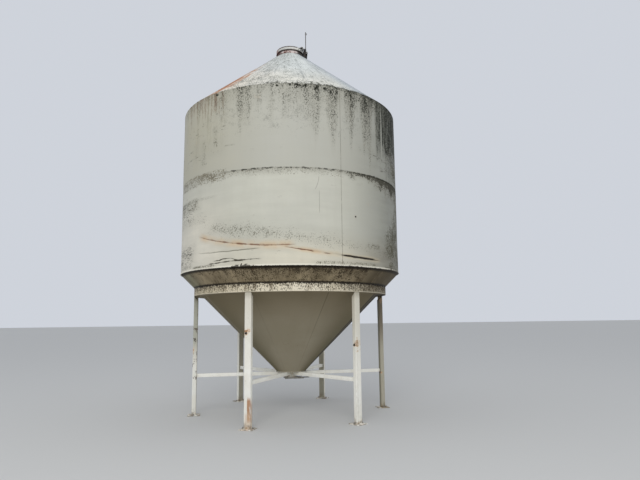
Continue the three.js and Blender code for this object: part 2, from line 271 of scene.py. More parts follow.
def rust_group():
    inputs = {"Place": (0, 0, 0), "Scale": 9.0, "Amount": 0.3}
    tree, bench, given, out = new_group("Rust bloom", inputs, ["Core", "Halo"])
    cloud = bench.noise(given["Place"], given["Scale"], 6.0, 0.68)
    bench.feed(out["Core"], passing(bench, cloud, given["Amount"], 0.76, 0.38, 14.0))
    bench.feed(out["Halo"], passing(bench, cloud, given["Amount"], 0.70, 0.26, 6.0))
    return tree


def worn_edge_group():
    tree, bench, given, out = new_group("Worn edge", {"Place": (0, 0, 0), "Scale": 30.0, "Amount": 0.5}, ["Mask"])
    bend = bench.add("ShaderNodeNewGeometry").outputs["Pointiness"]
    sharp = bench.ramp(bend, 0.52, 0.60)
    broken = bench.noise(given["Place"], given["Scale"], 4.0, 0.7)
    bench.feed(out["Mask"], bench.times(sharp, passing(bench, broken, given["Amount"], 0.72, 0.36, 10.0)))
    return tree


SPECKLE = speckle_group()
STREAKS = streak_group()
MOTTLE = mottle_group()
RUST = rust_group()
WORN_EDGE = worn_edge_group()
print("Node groups:", [group.name for group in bpy.data.node_groups])

# %% [markdown]
# ## Places on a round silo
# Dirt on the silo is laid out around its axis, so the paints need three numbers at every point: the
# azimuth, the distance from the axis and the height. They are worked out from the Object coordinates,
# which run in metres over the whole silo. The azimuth is in degrees from the front, growing to the
# right. It jumps at the back, so wide stains use flank instead, which folds the back onto the front and
# has no jump. Streaks on a cone need a place that keeps its spacing up the slope, which is what rim gives.

# %% Find the azimuth, radius and height of a point
WALL_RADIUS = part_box("wall_lower_course")[1].x
WALL_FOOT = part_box("wall_lower_course")[0].z
MID_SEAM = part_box("wall_upper_course")[0].z
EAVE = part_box("wall_upper_course")[1].z
BUMP_STRENGTH = 0.6
print(f"Wall of radius {WALL_RADIUS:.3f} m, from {WALL_FOOT:.3f} by {MID_SEAM:.3f} to {EAVE:.3f} m")


def polar(azimuth, radius, height, sideways=0.0):
    """A point at an azimuth in degrees, with an offset to the right as seen from outside."""
    turn = math.radians(azimuth)
    out = Vector((math.sin(turn), -math.cos(turn), 0.0))
    right = Vector((math.cos(turn), math.sin(turn), 0.0))
    return out * radius + right * sideways + Vector((0.0, 0.0, height))


def start_finish(name):
    material = bpy.data.materials.new(name)
    material.use_nodes = True
    bench = NodeBench(material.node_tree)
    place = bench.add("ShaderNodeTexCoord").outputs["Object"]
    return material, bench, place


def around_axis(bench, place):
    node = bench.add("ShaderNodeSeparateXYZ")
    bench.feed(node.inputs[0], place)
    across, deep, height = node.outputs
    radius = bench.math("SQRT", bench.math("ADD", bench.times(across, across), bench.times(deep, deep)))
    turn = bench.math("ARCTAN2", across, bench.math("MULTIPLY", deep, -1.0))
    azimuth = bench.math("DEGREES", turn)
    flank = bench.math("SUBTRACT", bench.math("PINGPONG", bench.math("ADD", azimuth, 90.0), 180.0), 90.0)
    rim = bench.add("ShaderNodeCombineXYZ")
    share = bench.math("DIVIDE", WALL_RADIUS, bench.math("MAXIMUM", radius, 0.05))
    bench.feed(rim.inputs[0], bench.times(across, share))
    bench.feed(rim.inputs[1], bench.times(deep, share))
    bench.feed(rim.inputs[2], radius)
    return SimpleNamespace(azimuth=azimuth, flank=flank, radius=radius, height=height, rim=rim.outputs[0])


def close_finish(bench, colour, roughness, relief, depth, metallic=0.0, gloss=0.25):
    """Joins colour, roughness and a relief height to the material's own shader. Chalky paint has little gloss."""
    shader = bench.tree.nodes["Principled BSDF"]
    shader.inputs["Specular IOR Level"].default_value = gloss
    bench.feed(shader.inputs["Base Color"], colour)
    bench.feed(shader.inputs["Roughness"], roughness)
    bench.feed(shader.inputs["Metallic"], metallic)
    bump = bench.add("ShaderNodeBump")
    bump.inputs["Strength"].default_value = BUMP_STRENGTH
    bump.inputs["Distance"].default_value = depth
    bench.feed(bump.inputs["Height"], relief)
    bench.feed(shader.inputs["Normal"], bump.outputs[0])


# %% [markdown]
# ## The wall's paint: the coat
# The wall is cream that has chalked to grey, warmer towards its foot and darker and warmer on the left.
# The right flank is grey-brown from dirt and painted shade, and a band at each edge is darkened as painted
# shade. Clouds, drawn-out stripes and level bands of slightly different greys keep it from looking sprayed
# yesterday.

# %% Lay the wall's chalked coat and its painted shade
ALGAE = tint(34, 35, 25)
WET_DIRT = tint(108, 99, 72)
EARTH = tint(112, 98, 76)
RUST_DARK = tint(104, 66, 44)
GRIME = tint(128, 125, 112)


def coat_with_flank_shade(bench, place, spot):
    """The paint itself, with painted shade on its flanks, before the specks and streaks of dirt."""
    colour = bench.mix(tint(208, 206, 191), tint(190, 188, 175), bench.ramp(spot.height, 4.10, 4.30))
    colour = bench.mix(colour, tint(226, 218, 196), bench.ramp(spot.height, 3.30, 2.65), 0.9)
    left = bench.times(bench.ramp(spot.flank, -14, -68), bench.ramp(spot.height, 4.16, 4.32, 0.14, 0.95))
    colour = bench.mix(colour, tint(186, 180, 156), left)
    # Painted shade: a band round the left edge is darkened.
    colour = bench.mix(colour, tint(116, 116, 98), bench.ramp(spot.flank, -76, -90), 0.5)
    left_foot = bench.times(bench.ramp(spot.flank, -30, -54), bench.ramp(spot.height, 4.2, 2.95), 0.97)
    colour = bench.mix(colour, tint(242, 234, 215), left_foot)
    # Dirt and painted shade: the right flank turns grey-brown, and its edge is darkened further as painted shade.
    right = bench.times(bench.ramp(spot.flank, 8, 53), 0.98)
    dull = bench.mix(tint(108, 102, 86), tint(139, 139, 128), bench.ramp(spot.height, 2.8, 3.3))
    colour = bench.mix(colour, dull, right)
    colour = bench.mix(colour, tint(92, 94, 88), bench.ramp(spot.flank, 44, 60), 0.26)
    cloud = bench.use(MOTTLE, Place=place, Scale=0.9)["Value"]
    colour = bench.mix(colour, tint(184, 183, 174), cloud, 0.30)
    drawn = bench.use(MOTTLE, Place=bench.stretch(place, (1.0, 1.0, 0.12)), Scale=5.0)["Value"]
    colour = bench.mix(colour, tint(172, 168, 152), drawn, 0.10)
    level = bench.use(MOTTLE, Place=bench.stretch(place, (1.0, 1.0, 8.0)), Scale=1.0)["Value"]
    colour = bench.mix(colour, tint(184, 182, 168), level, 0.24)
    scuffs = bench.use(SPECKLE, Place=bench.stretch(place, (1.0, 1.0, 3.0)), Scale=8.0, Amount=0.14)["Mask"]
    return bench.mix(colour, GRIME, scuffs, 0.4)


print("The coat goes from cream at", round(WALL_FOOT, 2), "m to grey at", round(EAVE, 2), "m")

# %% [markdown]
# ## The wall's paint: algae under the eave
# Rain washes algae down from the eave. A curve over the azimuth says how far it has run at each place,
# with short and long tongues where the photograph has them, and another says how dark it is. Small knots
# of it cling to the edge itself. On the right, where the sun hardly comes, it hangs as a black-green
# curtain that a few clean stripes part.

# %% Let the algae run down
FRONT = 100
LONGEST_RUN = 1.6
EAVE_RUN = [(-100, 0.30), (-74, 0.25), (-61, 0.25), (-57.8, 0.45), (-55, 0.30), (-49, 0.25), (-46.5, 0.55),
            (-44.6, 0.85), (-42.5, 0.45), (-39, 0.60), (-35, 0.40), (-30.5, 0.95), (-28.5, 0.95), (-25, 0.50),
            (-22, 0.50), (-19, 0.50), (-16.5, 0.85), (-13, 0.55), (-10.5, 0.75), (-6, 0.60), (-3, 0.90), (0, 0.70),
            (4.1, 1.05), (7.5, 0.60), (12.3, 1.10), (14.6, 0.65), (18, 0.55), (21.6, 1.10), (25, 0.45), (29.5, 1.15),
            (32.5, 1.30), (35, 1.30), (36.6, 0.35), (38.2, 0.35), (39.6, 1.40), (42.6, 1.40), (44, 0.50),
            (46, 1.50), (60, 1.60), (100, 1.60)]
KNOTS = [(-44.6, 0.04, 0.08), (-16.3, 0.05, 0.11), (-13.6, 0.04, 0.07), (-8.1, 0.02, 0.07), (-4.5, 0.03, 0.13),
         (-0.4, 0.03, 0.08), (4.4, 0.07, 0.14), (8.7, 0.06, 0.11), (11.2, 0.09, 0.09), (14.8, 0.08, 0.11),
         (19.6, 0.08, 0.09), (22.6, 0.11, 0.09), (27.4, 0.12, 0.11), (31.5, 0.13, 0.11)]
EAVE_DARK = [(-100, 0.40), (-60, 0.40), (-50, 0.42), (-44.6, 0.52), (-38, 0.44), (-29.5, 0.68), (-24, 0.50),
             (-12, 0.56), (-3, 0.68), (4, 0.72), (7.5, 0.60), (12.3, 0.78), (18, 0.68), (21.6, 0.98), (25, 0.70),
             (29, 0.90), (40, 1.0), (100, 1.0)]


def eave_algae(bench, place, spot):
    """The mask of the algae, the grey film round it, and the curtain on the shaded side."""
    below = bench.math("SUBTRACT", EAVE, spot.height)
    column = bench.noise(bench.stretch(place, (1.0, 1.0, 0.04)), 9.0, 4.0, 0.6)
    run = bench.curve(spot.flank, -FRONT, FRONT, EAVE_RUN, LONGEST_RUN)
    run = bench.times(run, bench.ramp(column, 0.36, 0.64, 0.75, 1.20))
    left_over = bench.math("SUBTRACT", 1.0, bench.math("DIVIDE", below, run), clamp=True)
    darkness = bench.curve(spot.flank, -FRONT, FRONT, EAVE_DARK)
    washed = bench.times(left_over, darkness)
    shaded = bench.ramp(spot.flank, 37.8, 40.5)
    clean = bench.most(bench.window(spot.flank, 36.9, 38.0, 0.6), bench.window(spot.flank, 43.4, 44.5, 0.5))
    parted = bench.math("SUBTRACT", bench.ramp(column, 0.30, 0.44, 0.55, 1.0), bench.times(clean, 0.8), clamp=True)
    thread = bench.ramp(bench.noise(bench.stretch(place, (1.0, 1.0, 0.06)), 26.0, 4.0), 0.36, 0.54, 0.74, 1.0)
    frayed = bench.math("MULTIPLY_ADD", bench.math("SUBTRACT", bench.noise(place, 3.5, 4.0), 0.5), 1.1, below)
    limb = bench.times(bench.ramp(spot.flank, 60, 76), bench.ramp(frayed, 1.9, 0.9, 0.55, 1.0), 0.85)
    curtain = bench.times(shaded, parted, thread, bench.most(bench.ramp(frayed, 1.30, 0.72), limb))
    short = bench.stretch(place, (1.0, 1.0, 0.6))
    amount = bench.math("ADD", bench.ramp(washed, 0.0, 0.22, 0.0, 0.40), bench.times(washed, 0.31))
    uneven = bench.ramp(column, 0.38, 0.62, -0.08, 0.10)
    amount = bench.math("MULTIPLY_ADD", bench.ramp(washed, 0.0, 0.25), uneven, amount)
    amount = bench.most(amount, bench.times(curtain, 0.88))
    specks = bench.use(SPECKLE, Place=short, Scale=60.0, Amount=amount, Patchy=0.5)["Mask"]
    streaks = bench.use(STREAKS, Place=place, Scale=18.0, Amount=bench.times(washed, 0.74))["Mask"]
    reach = bench.ramp(bench.noise(place, 6.5, 3.0), 0.36, 0.62, 0.05, 0.20)
    at_edge = bench.times(bench.ramp(below, reach, 0.0), bench.ramp(darkness, 0.40, 0.80, 0.34, 0.72))
    knots = bench.most(*[bench.spot(place, polar(azimuth, WALL_RADIUS, EAVE - drop), size)
                         for azimuth, drop, size in KNOTS])
    clumps = bench.use(SPECKLE, Place=place, Scale=34.0, Amount=bench.most(at_edge, bench.times(knots, 0.86)))["Mask"]
    notched = bench.ramp(bench.noise(place, 13.0, 3.0), 0.46, 0.60, 0.0, 0.8)
    edge = bench.times(bench.ramp(below, 0.020, 0.006), notched, bench.ramp(darkness, 0.4, 0.9))
    strength = bench.most(bench.ramp(washed, 0.05, 0.80, 0.50, 0.92), curtain)
    wide = bench.times(bench.window(spot.flank, -46, 34, 10), bench.ramp(below, 1.15, 0.60))
    dusting = bench.use(SPECKLE, Place=place, Scale=60.0, Amount=bench.times(wide, 0.48), Patchy=1.2)["Mask"]
    algae = bench.most(bench.times(specks, strength), bench.times(streaks, 0.6), bench.times(dusting, 0.34),
                       clumps, edge)
    return algae, bench.times(washed, 0.34), curtain


print("Algae hangs down by up to", LONGEST_RUN, "m")

# %% [markdown]
# ## The wall's paint: seams and creases
# Dirt lies under the middle seam, thin and broken at the front and thick on the right, with a khaki band
# of specks on the left. Two long creases have cracked the paint, which rusts at one end and has gone
# black at the other, and a third one is faint. Each crease is drawn once, as a height over the azimuth,
# and both this paint and the dented plate use it.

# %% Draw the seams and the creases
SEAM_AZIMUTH = 16.1
SEAM_COUNT = 3
SEAMS = [SEAM_AZIMUTH + index * 360 / SEAM_COUNT for index in range(SEAM_COUNT)]
SMEAR_DEPTH = [(-100, 0.18), (-80, 0.22), (-60, 0.28), (-50, 0.32), (-42, 0.30), (-35, 0.21), (-20, 0.18),
               (0, 0.14), (15, 0.14), (20, 0.19), (28, 0.23), (36, 0.24), (39, 0.34), (46, 0.42), (60, 0.44),
               (100, 0.4)]
SMEAR_DARK = [(-100, 0.4), (-55, 0.38), (-42, 0.36), (-36, 0.52), (-30, 0.62), (0, 0.60), (20, 0.74), (28, 1.0),
              (37, 1.02), (41, 1.22), (60, 1.3), (100, 1.1)]
SMEAR_MOST = 1.5
CREASE_SOFT = 5.0
SEAM_DARK = [(-100, 0.2), (-60, 0.12), (-41, 0.14), (-37, 0.80), (-30, 0.95), (-8, 0.80), (14, 0.95), (19, 0.50),
             (24, 0.45), (27, 0.9), (40, 1.0), (100, 1.0)]


def parabola(lowest, at, bend):
    """A crease's height over the azimuth, from its lowest height, the azimuth of that and its bend."""
    return lambda azimuth: lowest + bend * (azimuth - at) ** 2


CREASES = {
    "left": SimpleNamespace(height=parabola(2.943, -12.0, 0.000125), start=-57.0, end=-4.5, depth=0.006),
    "right": SimpleNamespace(height=parabola(2.750, 42.0, 0.0000600), start=-12.0, end=41.0, depth=0.006),
    "low": SimpleNamespace(height=parabola(2.874, -41.0, 0.0000700), start=-58.0, end=-20.0, depth=0.003),
}


def crease_line(bench, spot, crease, width):
    """The mask of one crease: a parabola in height over the azimuth."""
    level = crease.height(0.0)
    slope = (crease.height(1.0) - crease.height(-1.0)) / 2
    bend = crease.height(1.0) - level - slope
    rise = bench.math("ADD", bench.times(spot.azimuth, bend), slope)
    run = bench.math("ADD", bench.times(rise, spot.azimuth), level)
    reach = bench.window(spot.azimuth, crease.start + CREASE_SOFT, crease.end - CREASE_SOFT, CREASE_SOFT)
    return bench.times(bench.line(spot.height, run, width), reach)


def middle_seam(bench, place, spot):
    """The smear under the middle seam and the seam's own dark dashes."""
    below = bench.math("SUBTRACT", MID_SEAM, spot.height)
    depth = bench.curve(spot.flank, -FRONT, FRONT, SMEAR_DEPTH)
    ragged = bench.times(depth, bench.ramp(bench.noise(place, 5.0), 0.35, 0.65, 0.6, 1.25))
    share = bench.times(bench.ramp(below, ragged, 0.0), bench.ramp(below, -0.020, 0.002))
    amount = bench.times(share, bench.curve(spot.flank, -FRONT, FRONT, SMEAR_DARK, SMEAR_MOST))
    fine = bench.use(SPECKLE, Place=place, Scale=50.0, Amount=bench.times(amount, 0.86), Patchy=0.8)["Mask"]
    clots = bench.use(SPECKLE, Place=place, Scale=27.0, Amount=bench.times(amount, 0.62), Patchy=1.1)["Mask"]
    smear = bench.most(fine, clots)
    left_band = bench.times(bench.window(spot.flank, -78, -41, 7),
                            bench.window(spot.height, MID_SEAM - 0.12, MID_SEAM + 0.04, 0.07), 0.68)
    front_band = bench.times(bench.window(spot.flank, -36, 14, 8),
                             bench.window(spot.height, MID_SEAM - 0.11, MID_SEAM - 0.01, 0.05), 0.46)
    khaki = bench.use(SPECKLE, Place=place, Scale=42.0, Amount=bench.most(left_band, front_band), Patchy=0.8)["Mask"]
    wobble = bench.times(bench.math("SUBTRACT", bench.noise(place, 9.0, 5.0), 0.5), 0.06)
    near = bench.line(bench.math("ADD", spot.height, wobble), MID_SEAM - 0.004, 0.022)
    dashes = bench.ramp(bench.noise(place, 15.0, 3.0), 0.44, 0.54, 0.10, 1.0)
    seam = bench.times(near, dashes, bench.curve(spot.flank, -FRONT, FRONT, SEAM_DARK))
    return smear, seam, amount, khaki


def upright_seams(bench, spot, foot):
    """Thin dark lines where the sheets meet, browner near the foot."""
    lines = [bench.line(spot.azimuth, (seam + 180) % 360 - 180, 0.26) for seam in SEAMS]
    return bench.times(bench.most(*lines), foot)


crease_ends = [round(CREASES["left"].height(-55), 3), round(CREASES["right"].height(40), 3)]
print("The crease drops from", crease_ends[0], "to", crease_ends[1], "m")

# %% [markdown]
# ## The wall's paint: patches of specks
# Elsewhere the algae sits in patches. Each is a window in azimuth and height with soft borders. The
# windows together are the Amount of two speckle groups, one fine and one coarse, so that all the patches
# cost only these two. The plate's foot has two dark folds, and level flecks of dirt lie on both flanks.
# The last function lays every effect over the coat in turn. Order counts, because what comes later covers
# what came before. One material can only hold so much: this one is close to what the renderer can take.

# %% Mix the wall's paint
MOST_CREEP = 0.12
FOOT_CREEP = [(-100, 0.010), (-37, 0.012), (-34, 0.08), (-29, 0.10), (-24, 0.07), (-20, 0.020), (10, 0.015),
              (24, 0.03), (44, 0.02), (52, 0.07), (100, 0.08)]
CRACK_GAPS = [(-60, 0.5), (-46, 0.75), (-30, 0.95), (-18, 0.80), (-8, 0.75), (-4, 1.0), (1, 1.0), (3, 0.14),
              (6.5, 0.10), (8, 0.70), (9.4, 0.70), (10.8, 0.12), (15, 0.18), (17.5, 0.95), (45, 1.0)]
WALL_BOLT = SimpleNamespace(azimuth=23.6, height=3.464)
DIRT_PATCHES = [
    SimpleNamespace(azimuth=(-82, -60), height=(3.70, 3.86), soft=(8, 0.09), amount=0.58),
    SimpleNamespace(azimuth=(-62, -47), height=(3.83, 3.86), soft=(5, 0.03), amount=0.40),
    SimpleNamespace(azimuth=(-80, -52), height=(3.44, 3.56), soft=(8, 0.10), amount=0.40),
    SimpleNamespace(azimuth=(-85, -62), height=(2.78, 3.06), soft=(8, 0.10), amount=0.40),
    SimpleNamespace(azimuth=(-60, -46), height=(2.60, 2.66), soft=(5, 0.04), amount=0.66),
    SimpleNamespace(azimuth=(-82, -64), height=(2.66, 2.72), soft=(5, 0.05), amount=0.45),
    SimpleNamespace(azimuth=(6, 34), height=(2.63, 2.67), soft=(8, 0.04), amount=0.56),
    SimpleNamespace(azimuth=(33, 38), height=(2.95, 2.99), soft=(8, 0.11), amount=0.60),
    SimpleNamespace(azimuth=(46, 62), height=(2.60, 2.64), soft=(6, 0.05), amount=0.72),
    SimpleNamespace(azimuth=(48, 64), height=(2.94, 3.30), soft=(9, 0.28), amount=0.68),
    SimpleNamespace(azimuth=(58, 120), height=(2.80, 3.95), soft=(10, 0.4), amount=0.60),
    SimpleNamespace(azimuth=(50, 80), height=(2.66, 2.74), soft=(8, 0.05), amount=0.50),
    SimpleNamespace(azimuth=(28, 44), height=(4.66, 4.74), soft=(4, 0.06), amount=0.30),
    SimpleNamespace(azimuth=(46, 75), height=(4.32, 4.60), soft=(6, 0.12), amount=0.55),
    SimpleNamespace(azimuth=(-60, -44), height=(4.62, 4.86), soft=(8, 0.12), amount=0.30),
    SimpleNamespace(azimuth=(-46, -44.5), height=(4.75, 5.00), soft=(2, 0.15), amount=0.50),
    SimpleNamespace(azimuth=(-54.5, -53), height=(4.50, 4.86), soft=(3, 0.12), amount=0.46),
    SimpleNamespace(azimuth=(-39, -35), height=(4.70, 4.71), soft=(2, 0.02), amount=0.50),
]
FOLD_FOOT, FOLD_RISE = 2.6, 0.2
UPPER_FOLD = [(-60, 0.120), (-42, 0.136), (-38.5, 0.156), (-36, 0.157), (-31.2, 0.117), (-23, 0.125), (0, 0.126)]
LOWER_FOLD = [(-60, 0.080), (-46, 0.088), (-41, 0.097), (-34.4, 0.110), (-29.4, 0.113), (0, 0.115)]
FLECKED = [((30, 34), (4.62, 4.65), 0.52), ((38, 44), (4.58, 4.64), 0.56), ((52, 76), (4.60, 4.84), 0.56),
           ((43, 62), (4.40, 4.47), 0.62), ((60, 100), (4.20, 4.50), 0.52), ((-80, -62), (3.50, 3.90), 0.46),
           ((-70, -40), (4.95, 5.25), 0.34), ((-84, -56), (4.50, 4.80), 0.36)]


def dirt_specks(bench, place, spot):
    """The mask of the patches, and how dusty each place is."""
    parts = []
    for patch in DIRT_PATCHES:
        around = bench.window(spot.flank, *patch.azimuth, patch.soft[0])
        parts.append(bench.times(around, bench.window(spot.height, *patch.height, patch.soft[1]), patch.amount))
    middle = bench.math("MULTIPLY_ADD", spot.azimuth, -0.0046, 3.072)
    band = bench.times(bench.line(spot.height, middle, 0.32), bench.window(spot.azimuth, -42, 12, 20))
    parts.append(bench.times(band, bench.ramp(spot.azimuth, -26, -6, 0.55, 0.46)))
    thin_band = bench.times(bench.line(spot.height, middle, 0.22), bench.window(spot.azimuth, 8, 44, 8), 0.42)
    amount = bench.most(thin_band, *parts)
    shaded = bench.ramp(spot.flank, 38, 46)
    drift = bench.ramp(bench.noise(bench.stretch(place, (1.0, 1.0, 0.45)), 1.9, 4.0), 0.36, 0.62, 0.30, 1.12)
    amount = bench.times(amount, bench.math("MULTIPLY_ADD", bench.math("SUBTRACT", drift, 1.0), shaded, 1.0))
    fine = bench.use(SPECKLE, Place=place, Scale=54.0, Amount=bench.times(amount, 1.08), Patchy=0.6)["Mask"]
    clots = bench.use(SPECKLE, Place=place, Scale=27.0, Amount=bench.times(amount, shaded), Patchy=1.2)["Mask"]
    return bench.most(fine, clots), amount


def fold_flecks(bench, place, spot):
    """Two dark folds in the plate's foot, and level flecks of dirt on the flanks."""
    shake = bench.times(bench.math("SUBTRACT", bench.noise(place, 12.0, 4.0), 0.5), 0.020)
    rise = bench.math("ADD", bench.math("SUBTRACT", spot.height, FOLD_FOOT), shake)
    width = bench.ramp(bench.noise(place, 9.0, 3.0), 0.38, 0.62, 0.006, 0.020)
    folds = []
    for fold, start, end in ((UPPER_FOLD, -42, -24), (LOWER_FOLD, -46, -30)):
        level = bench.curve(spot.azimuth, -60, 0, fold, FOLD_RISE)
        folds.append(bench.times(bench.line(rise, level, width), bench.window(spot.azimuth, start, end, 4)))
    flat = bench.stretch(place, (1.0, 1.0, 7.0))
    fan = bench.times(bench.window(spot.azimuth, -80, -64, 6), bench.window(spot.height, 2.70, 3.0, 0.1), 0.62)
    near_folds = bench.times(bench.window(spot.azimuth, -44, -30, 4),
                             bench.window(spot.height, 2.70, 2.75, 0.03), 0.5)
    hatches = [bench.times(bench.window(spot.flank, *azimuths, 4), bench.window(spot.height, *heights, 0.05), amount)
               for azimuths, heights, amount in FLECKED]
    flecks = bench.use(SPECKLE, Place=flat, Scale=9.0, Amount=bench.most(fan, near_folds, *hatches))["Mask"]
    return bench.most(flecks, bench.times(bench.most(*folds), 1.3))


def run_off(bench, place, spot, colour):
    """What rain has washed down: a film and a curtain of algae, rusty drips and long dull streaks."""
    algae, film, curtain = eave_algae(bench, place, spot)
    colour = bench.mix(colour, WET_DIRT, film)
    colour = bench.mix(colour, tint(88, 90, 78), curtain, 0.76)
    drips = bench.times(bench.window(spot.azimuth, -66, -44, 9), bench.ramp(spot.height, EAVE - 0.95, EAVE), 0.72)
    rusty_runs = bench.use(STREAKS, Place=place, Scale=22.0, Amount=drips)["Mask"]
    colour = bench.mix(colour, tint(122, 96, 74), rusty_runs, 0.7)
    on_left = bench.times(bench.ramp(spot.flank, -24, -44), 0.46)
    rain = bench.use(STREAKS, Place=place, Scale=9.0, Amount=on_left)["Mask"]
    colour = bench.mix(colour, tint(142, 135, 112), rain, bench.ramp(spot.height, MID_SEAM, EAVE, 0.0, 0.5))
    return bench.mix(colour, ALGAE, algae), algae


def seams_and_scratches(bench, place, spot, colour):
    broken = bench.ramp(bench.noise(place, 16.0), 0.32, 0.55, 0.5, 1.0)
    near_foot = bench.ramp(spot.height, 2.95, 2.66, 0.62, 1.0)
    seam_colour = bench.mix(tint(108, 104, 92), tint(88, 66, 46), bench.ramp(spot.height, 2.86, 2.76))
    colour = bench.mix(colour, seam_colour, upright_seams(bench, spot, near_foot), broken)
    scratch = bench.times(bench.line(spot.azimuth, 5.3, 0.20), bench.window(spot.height, 3.52, 3.82, 0.06))
    fallen = bench.math("SUBTRACT", 4.12, spot.height)
    bow = bench.math("SUBTRACT", 5.2, bench.times(fallen, fallen, 30.0))
    nick = bench.times(bench.line(spot.azimuth, bow, 0.22), bench.window(spot.height, 3.90, 4.08, 0.04))
    return bench.mix(colour, GRIME, bench.most(scratch, nick), 0.6)


def cracked_creases(bench, place, spot, colour):
    """A warm halo along the two long creases, the crack in it, and the faint third crease."""
    shake = bench.times(bench.math("SUBTRACT", bench.noise(place, 6.0, 5.0), 0.5), 0.03)
    lifted = SimpleNamespace(azimuth=spot.azimuth, height=bench.math("ADD", spot.height, shake))
    left, right, low = (CREASES[name] for name in ("left", "right", "low"))
    rusty = bench.ramp(spot.azimuth, 16, 4)
    patchy = bench.ramp(bench.noise(place, 4.0, 3.0), 0.36, 0.62, 0.35, 1.0)
    halo = bench.most(crease_line(bench, lifted, left, 0.110), crease_line(bench, lifted, right, 0.070))
    stain = bench.mix(tint(206, 190, 158), tint(212, 184, 146), rusty)
    colour = bench.mix(colour, stain, halo, patchy, 0.75)
    width = bench.ramp(bench.noise(place, 5.0, 4.0), 0.36, 0.64, 0.010, 0.027)
    core = bench.most(crease_line(bench, lifted, left, width), crease_line(bench, lifted, right, width))
    gaps = bench.curve(spot.azimuth, CRACK_GAPS[0][0], CRACK_GAPS[-1][0], CRACK_GAPS)
    cracked = bench.times(core, bench.ramp(bench.noise(place, 11.0, 3.0), 0.36, 0.50, 0.62, 1.0), gaps)
    heavy = bench.times(bench.window(spot.azimuth, 18.5, 33, 4), crease_line(bench, lifted, right, 0.028), 1.5)
    crack = bench.mix(tint(38, 30, 20), tint(112, 68, 42), rusty)
    colour = bench.mix(colour, crack, bench.most(cracked, heavy))
    faint_crease = bench.times(crease_line(bench, lifted, low, 0.015), bench.ramp(spot.azimuth, -56, -36, 0.4, 0.85))
    return bench.mix(colour, tint(112, 108, 90), faint_crease)


def foot_highlight_and_dirt(bench, place, spot, colour):
    """The lip is painted pale as a highlight, and dirt creeps up behind it."""
    # Painted highlight: the lip's edge is lightened.
    lip_highlight = bench.times(bench.ramp(spot.height, WALL_FOOT + 0.035, WALL_FOOT + 0.012), 0.75)
    colour = bench.mix(colour, tint(234, 228, 210), lip_highlight)
    creep = bench.curve(spot.flank, -FRONT, FRONT, FOOT_CREEP, MOST_CREEP)
    lip_dirt = bench.ramp(spot.height, bench.math("ADD", creep, WALL_FOOT), WALL_FOOT - 0.012)
    lip_specks = bench.use(SPECKLE, Place=place, Scale=26.0, Amount=lip_dirt, Patchy=0.6)["Mask"]
    return bench.mix(colour, tint(44, 36, 24), lip_specks, 0.9)


def wall_paint():
    material, bench, place = start_finish("weathered wall paint")
    spot = around_axis(bench, place)
    colour = coat_with_flank_shade(bench, place, spot)
    colour, algae = run_off(bench, place, spot, colour)

    specks, dusty = dirt_specks(bench, place, spot)
    colour = bench.mix(colour, tint(146, 144, 130), dusty, 0.32)
    colour = bench.mix(colour, tint(76, 71, 50), specks, 0.80)
    smear, seam, film, khaki = middle_seam(bench, place, spot)
    colour = bench.mix(colour, tint(98, 87, 60), khaki, 0.78)
    colour = bench.mix(colour, tint(128, 122, 102), bench.math("MULTIPLY", film, 0.42, clamp=True))
    colour = bench.mix(colour, tint(50, 47, 34), smear, 0.86)
    colour = bench.mix(colour, ALGAE, seam)
    flecks = fold_flecks(bench, place, spot)
    colour = bench.mix(colour, tint(58, 52, 37), bench.math("MULTIPLY", flecks, 0.90, clamp=True))

    colour = seams_and_scratches(bench, place, spot, colour)
    colour = cracked_creases(bench, place, spot, colour)
    by_bolt = bench.spot(place, polar(WALL_BOLT.azimuth, WALL_RADIUS, WALL_BOLT.height), 0.05)
    colour = bench.mix(colour, tint(180, 166, 146), by_bolt, 0.3)
    colour = foot_highlight_and_dirt(bench, place, spot, colour)
    rust = bench.use(RUST, Place=place, Scale=3.2, Amount=0.12)
    colour = bench.mix(colour, tint(200, 176, 146), rust["Halo"], 0.4)

    roughness = bench.ramp(bench.most(algae, specks, smear), 0.0, 1.0, 0.50, 0.85)
    relief = bench.math("ADD", bench.times(bench.noise(place, 120.0, 2.0), 0.25), bench.times(algae, 0.5))
    close_finish(bench, colour, roughness, relief, 0.0015)
    return material


WALL_PAINT = wall_paint()
print("Wall paint has", len(WALL_PAINT.node_tree.nodes), "nodes")

# %% [markdown]
# ## The roof's paint
# The roof is greyer than it looks, peppered with lichen and drawn with thin runs down the slope. A dirty
# fringe sits on the last hand's width above the eave, and one side has rusted through its paint. The
# noise is read at rim, where the radius stands for height, so streaks follow the slope.

# %% Mix the roof's paint
FRINGE_DARK = [(-100, 0.4), (-60, 0.20), (-40, 0.25), (-26, 0.42), (-16, 0.72), (-10, 0.95), (30, 1.0), (60, 0.85),
               (100, 0.8)]


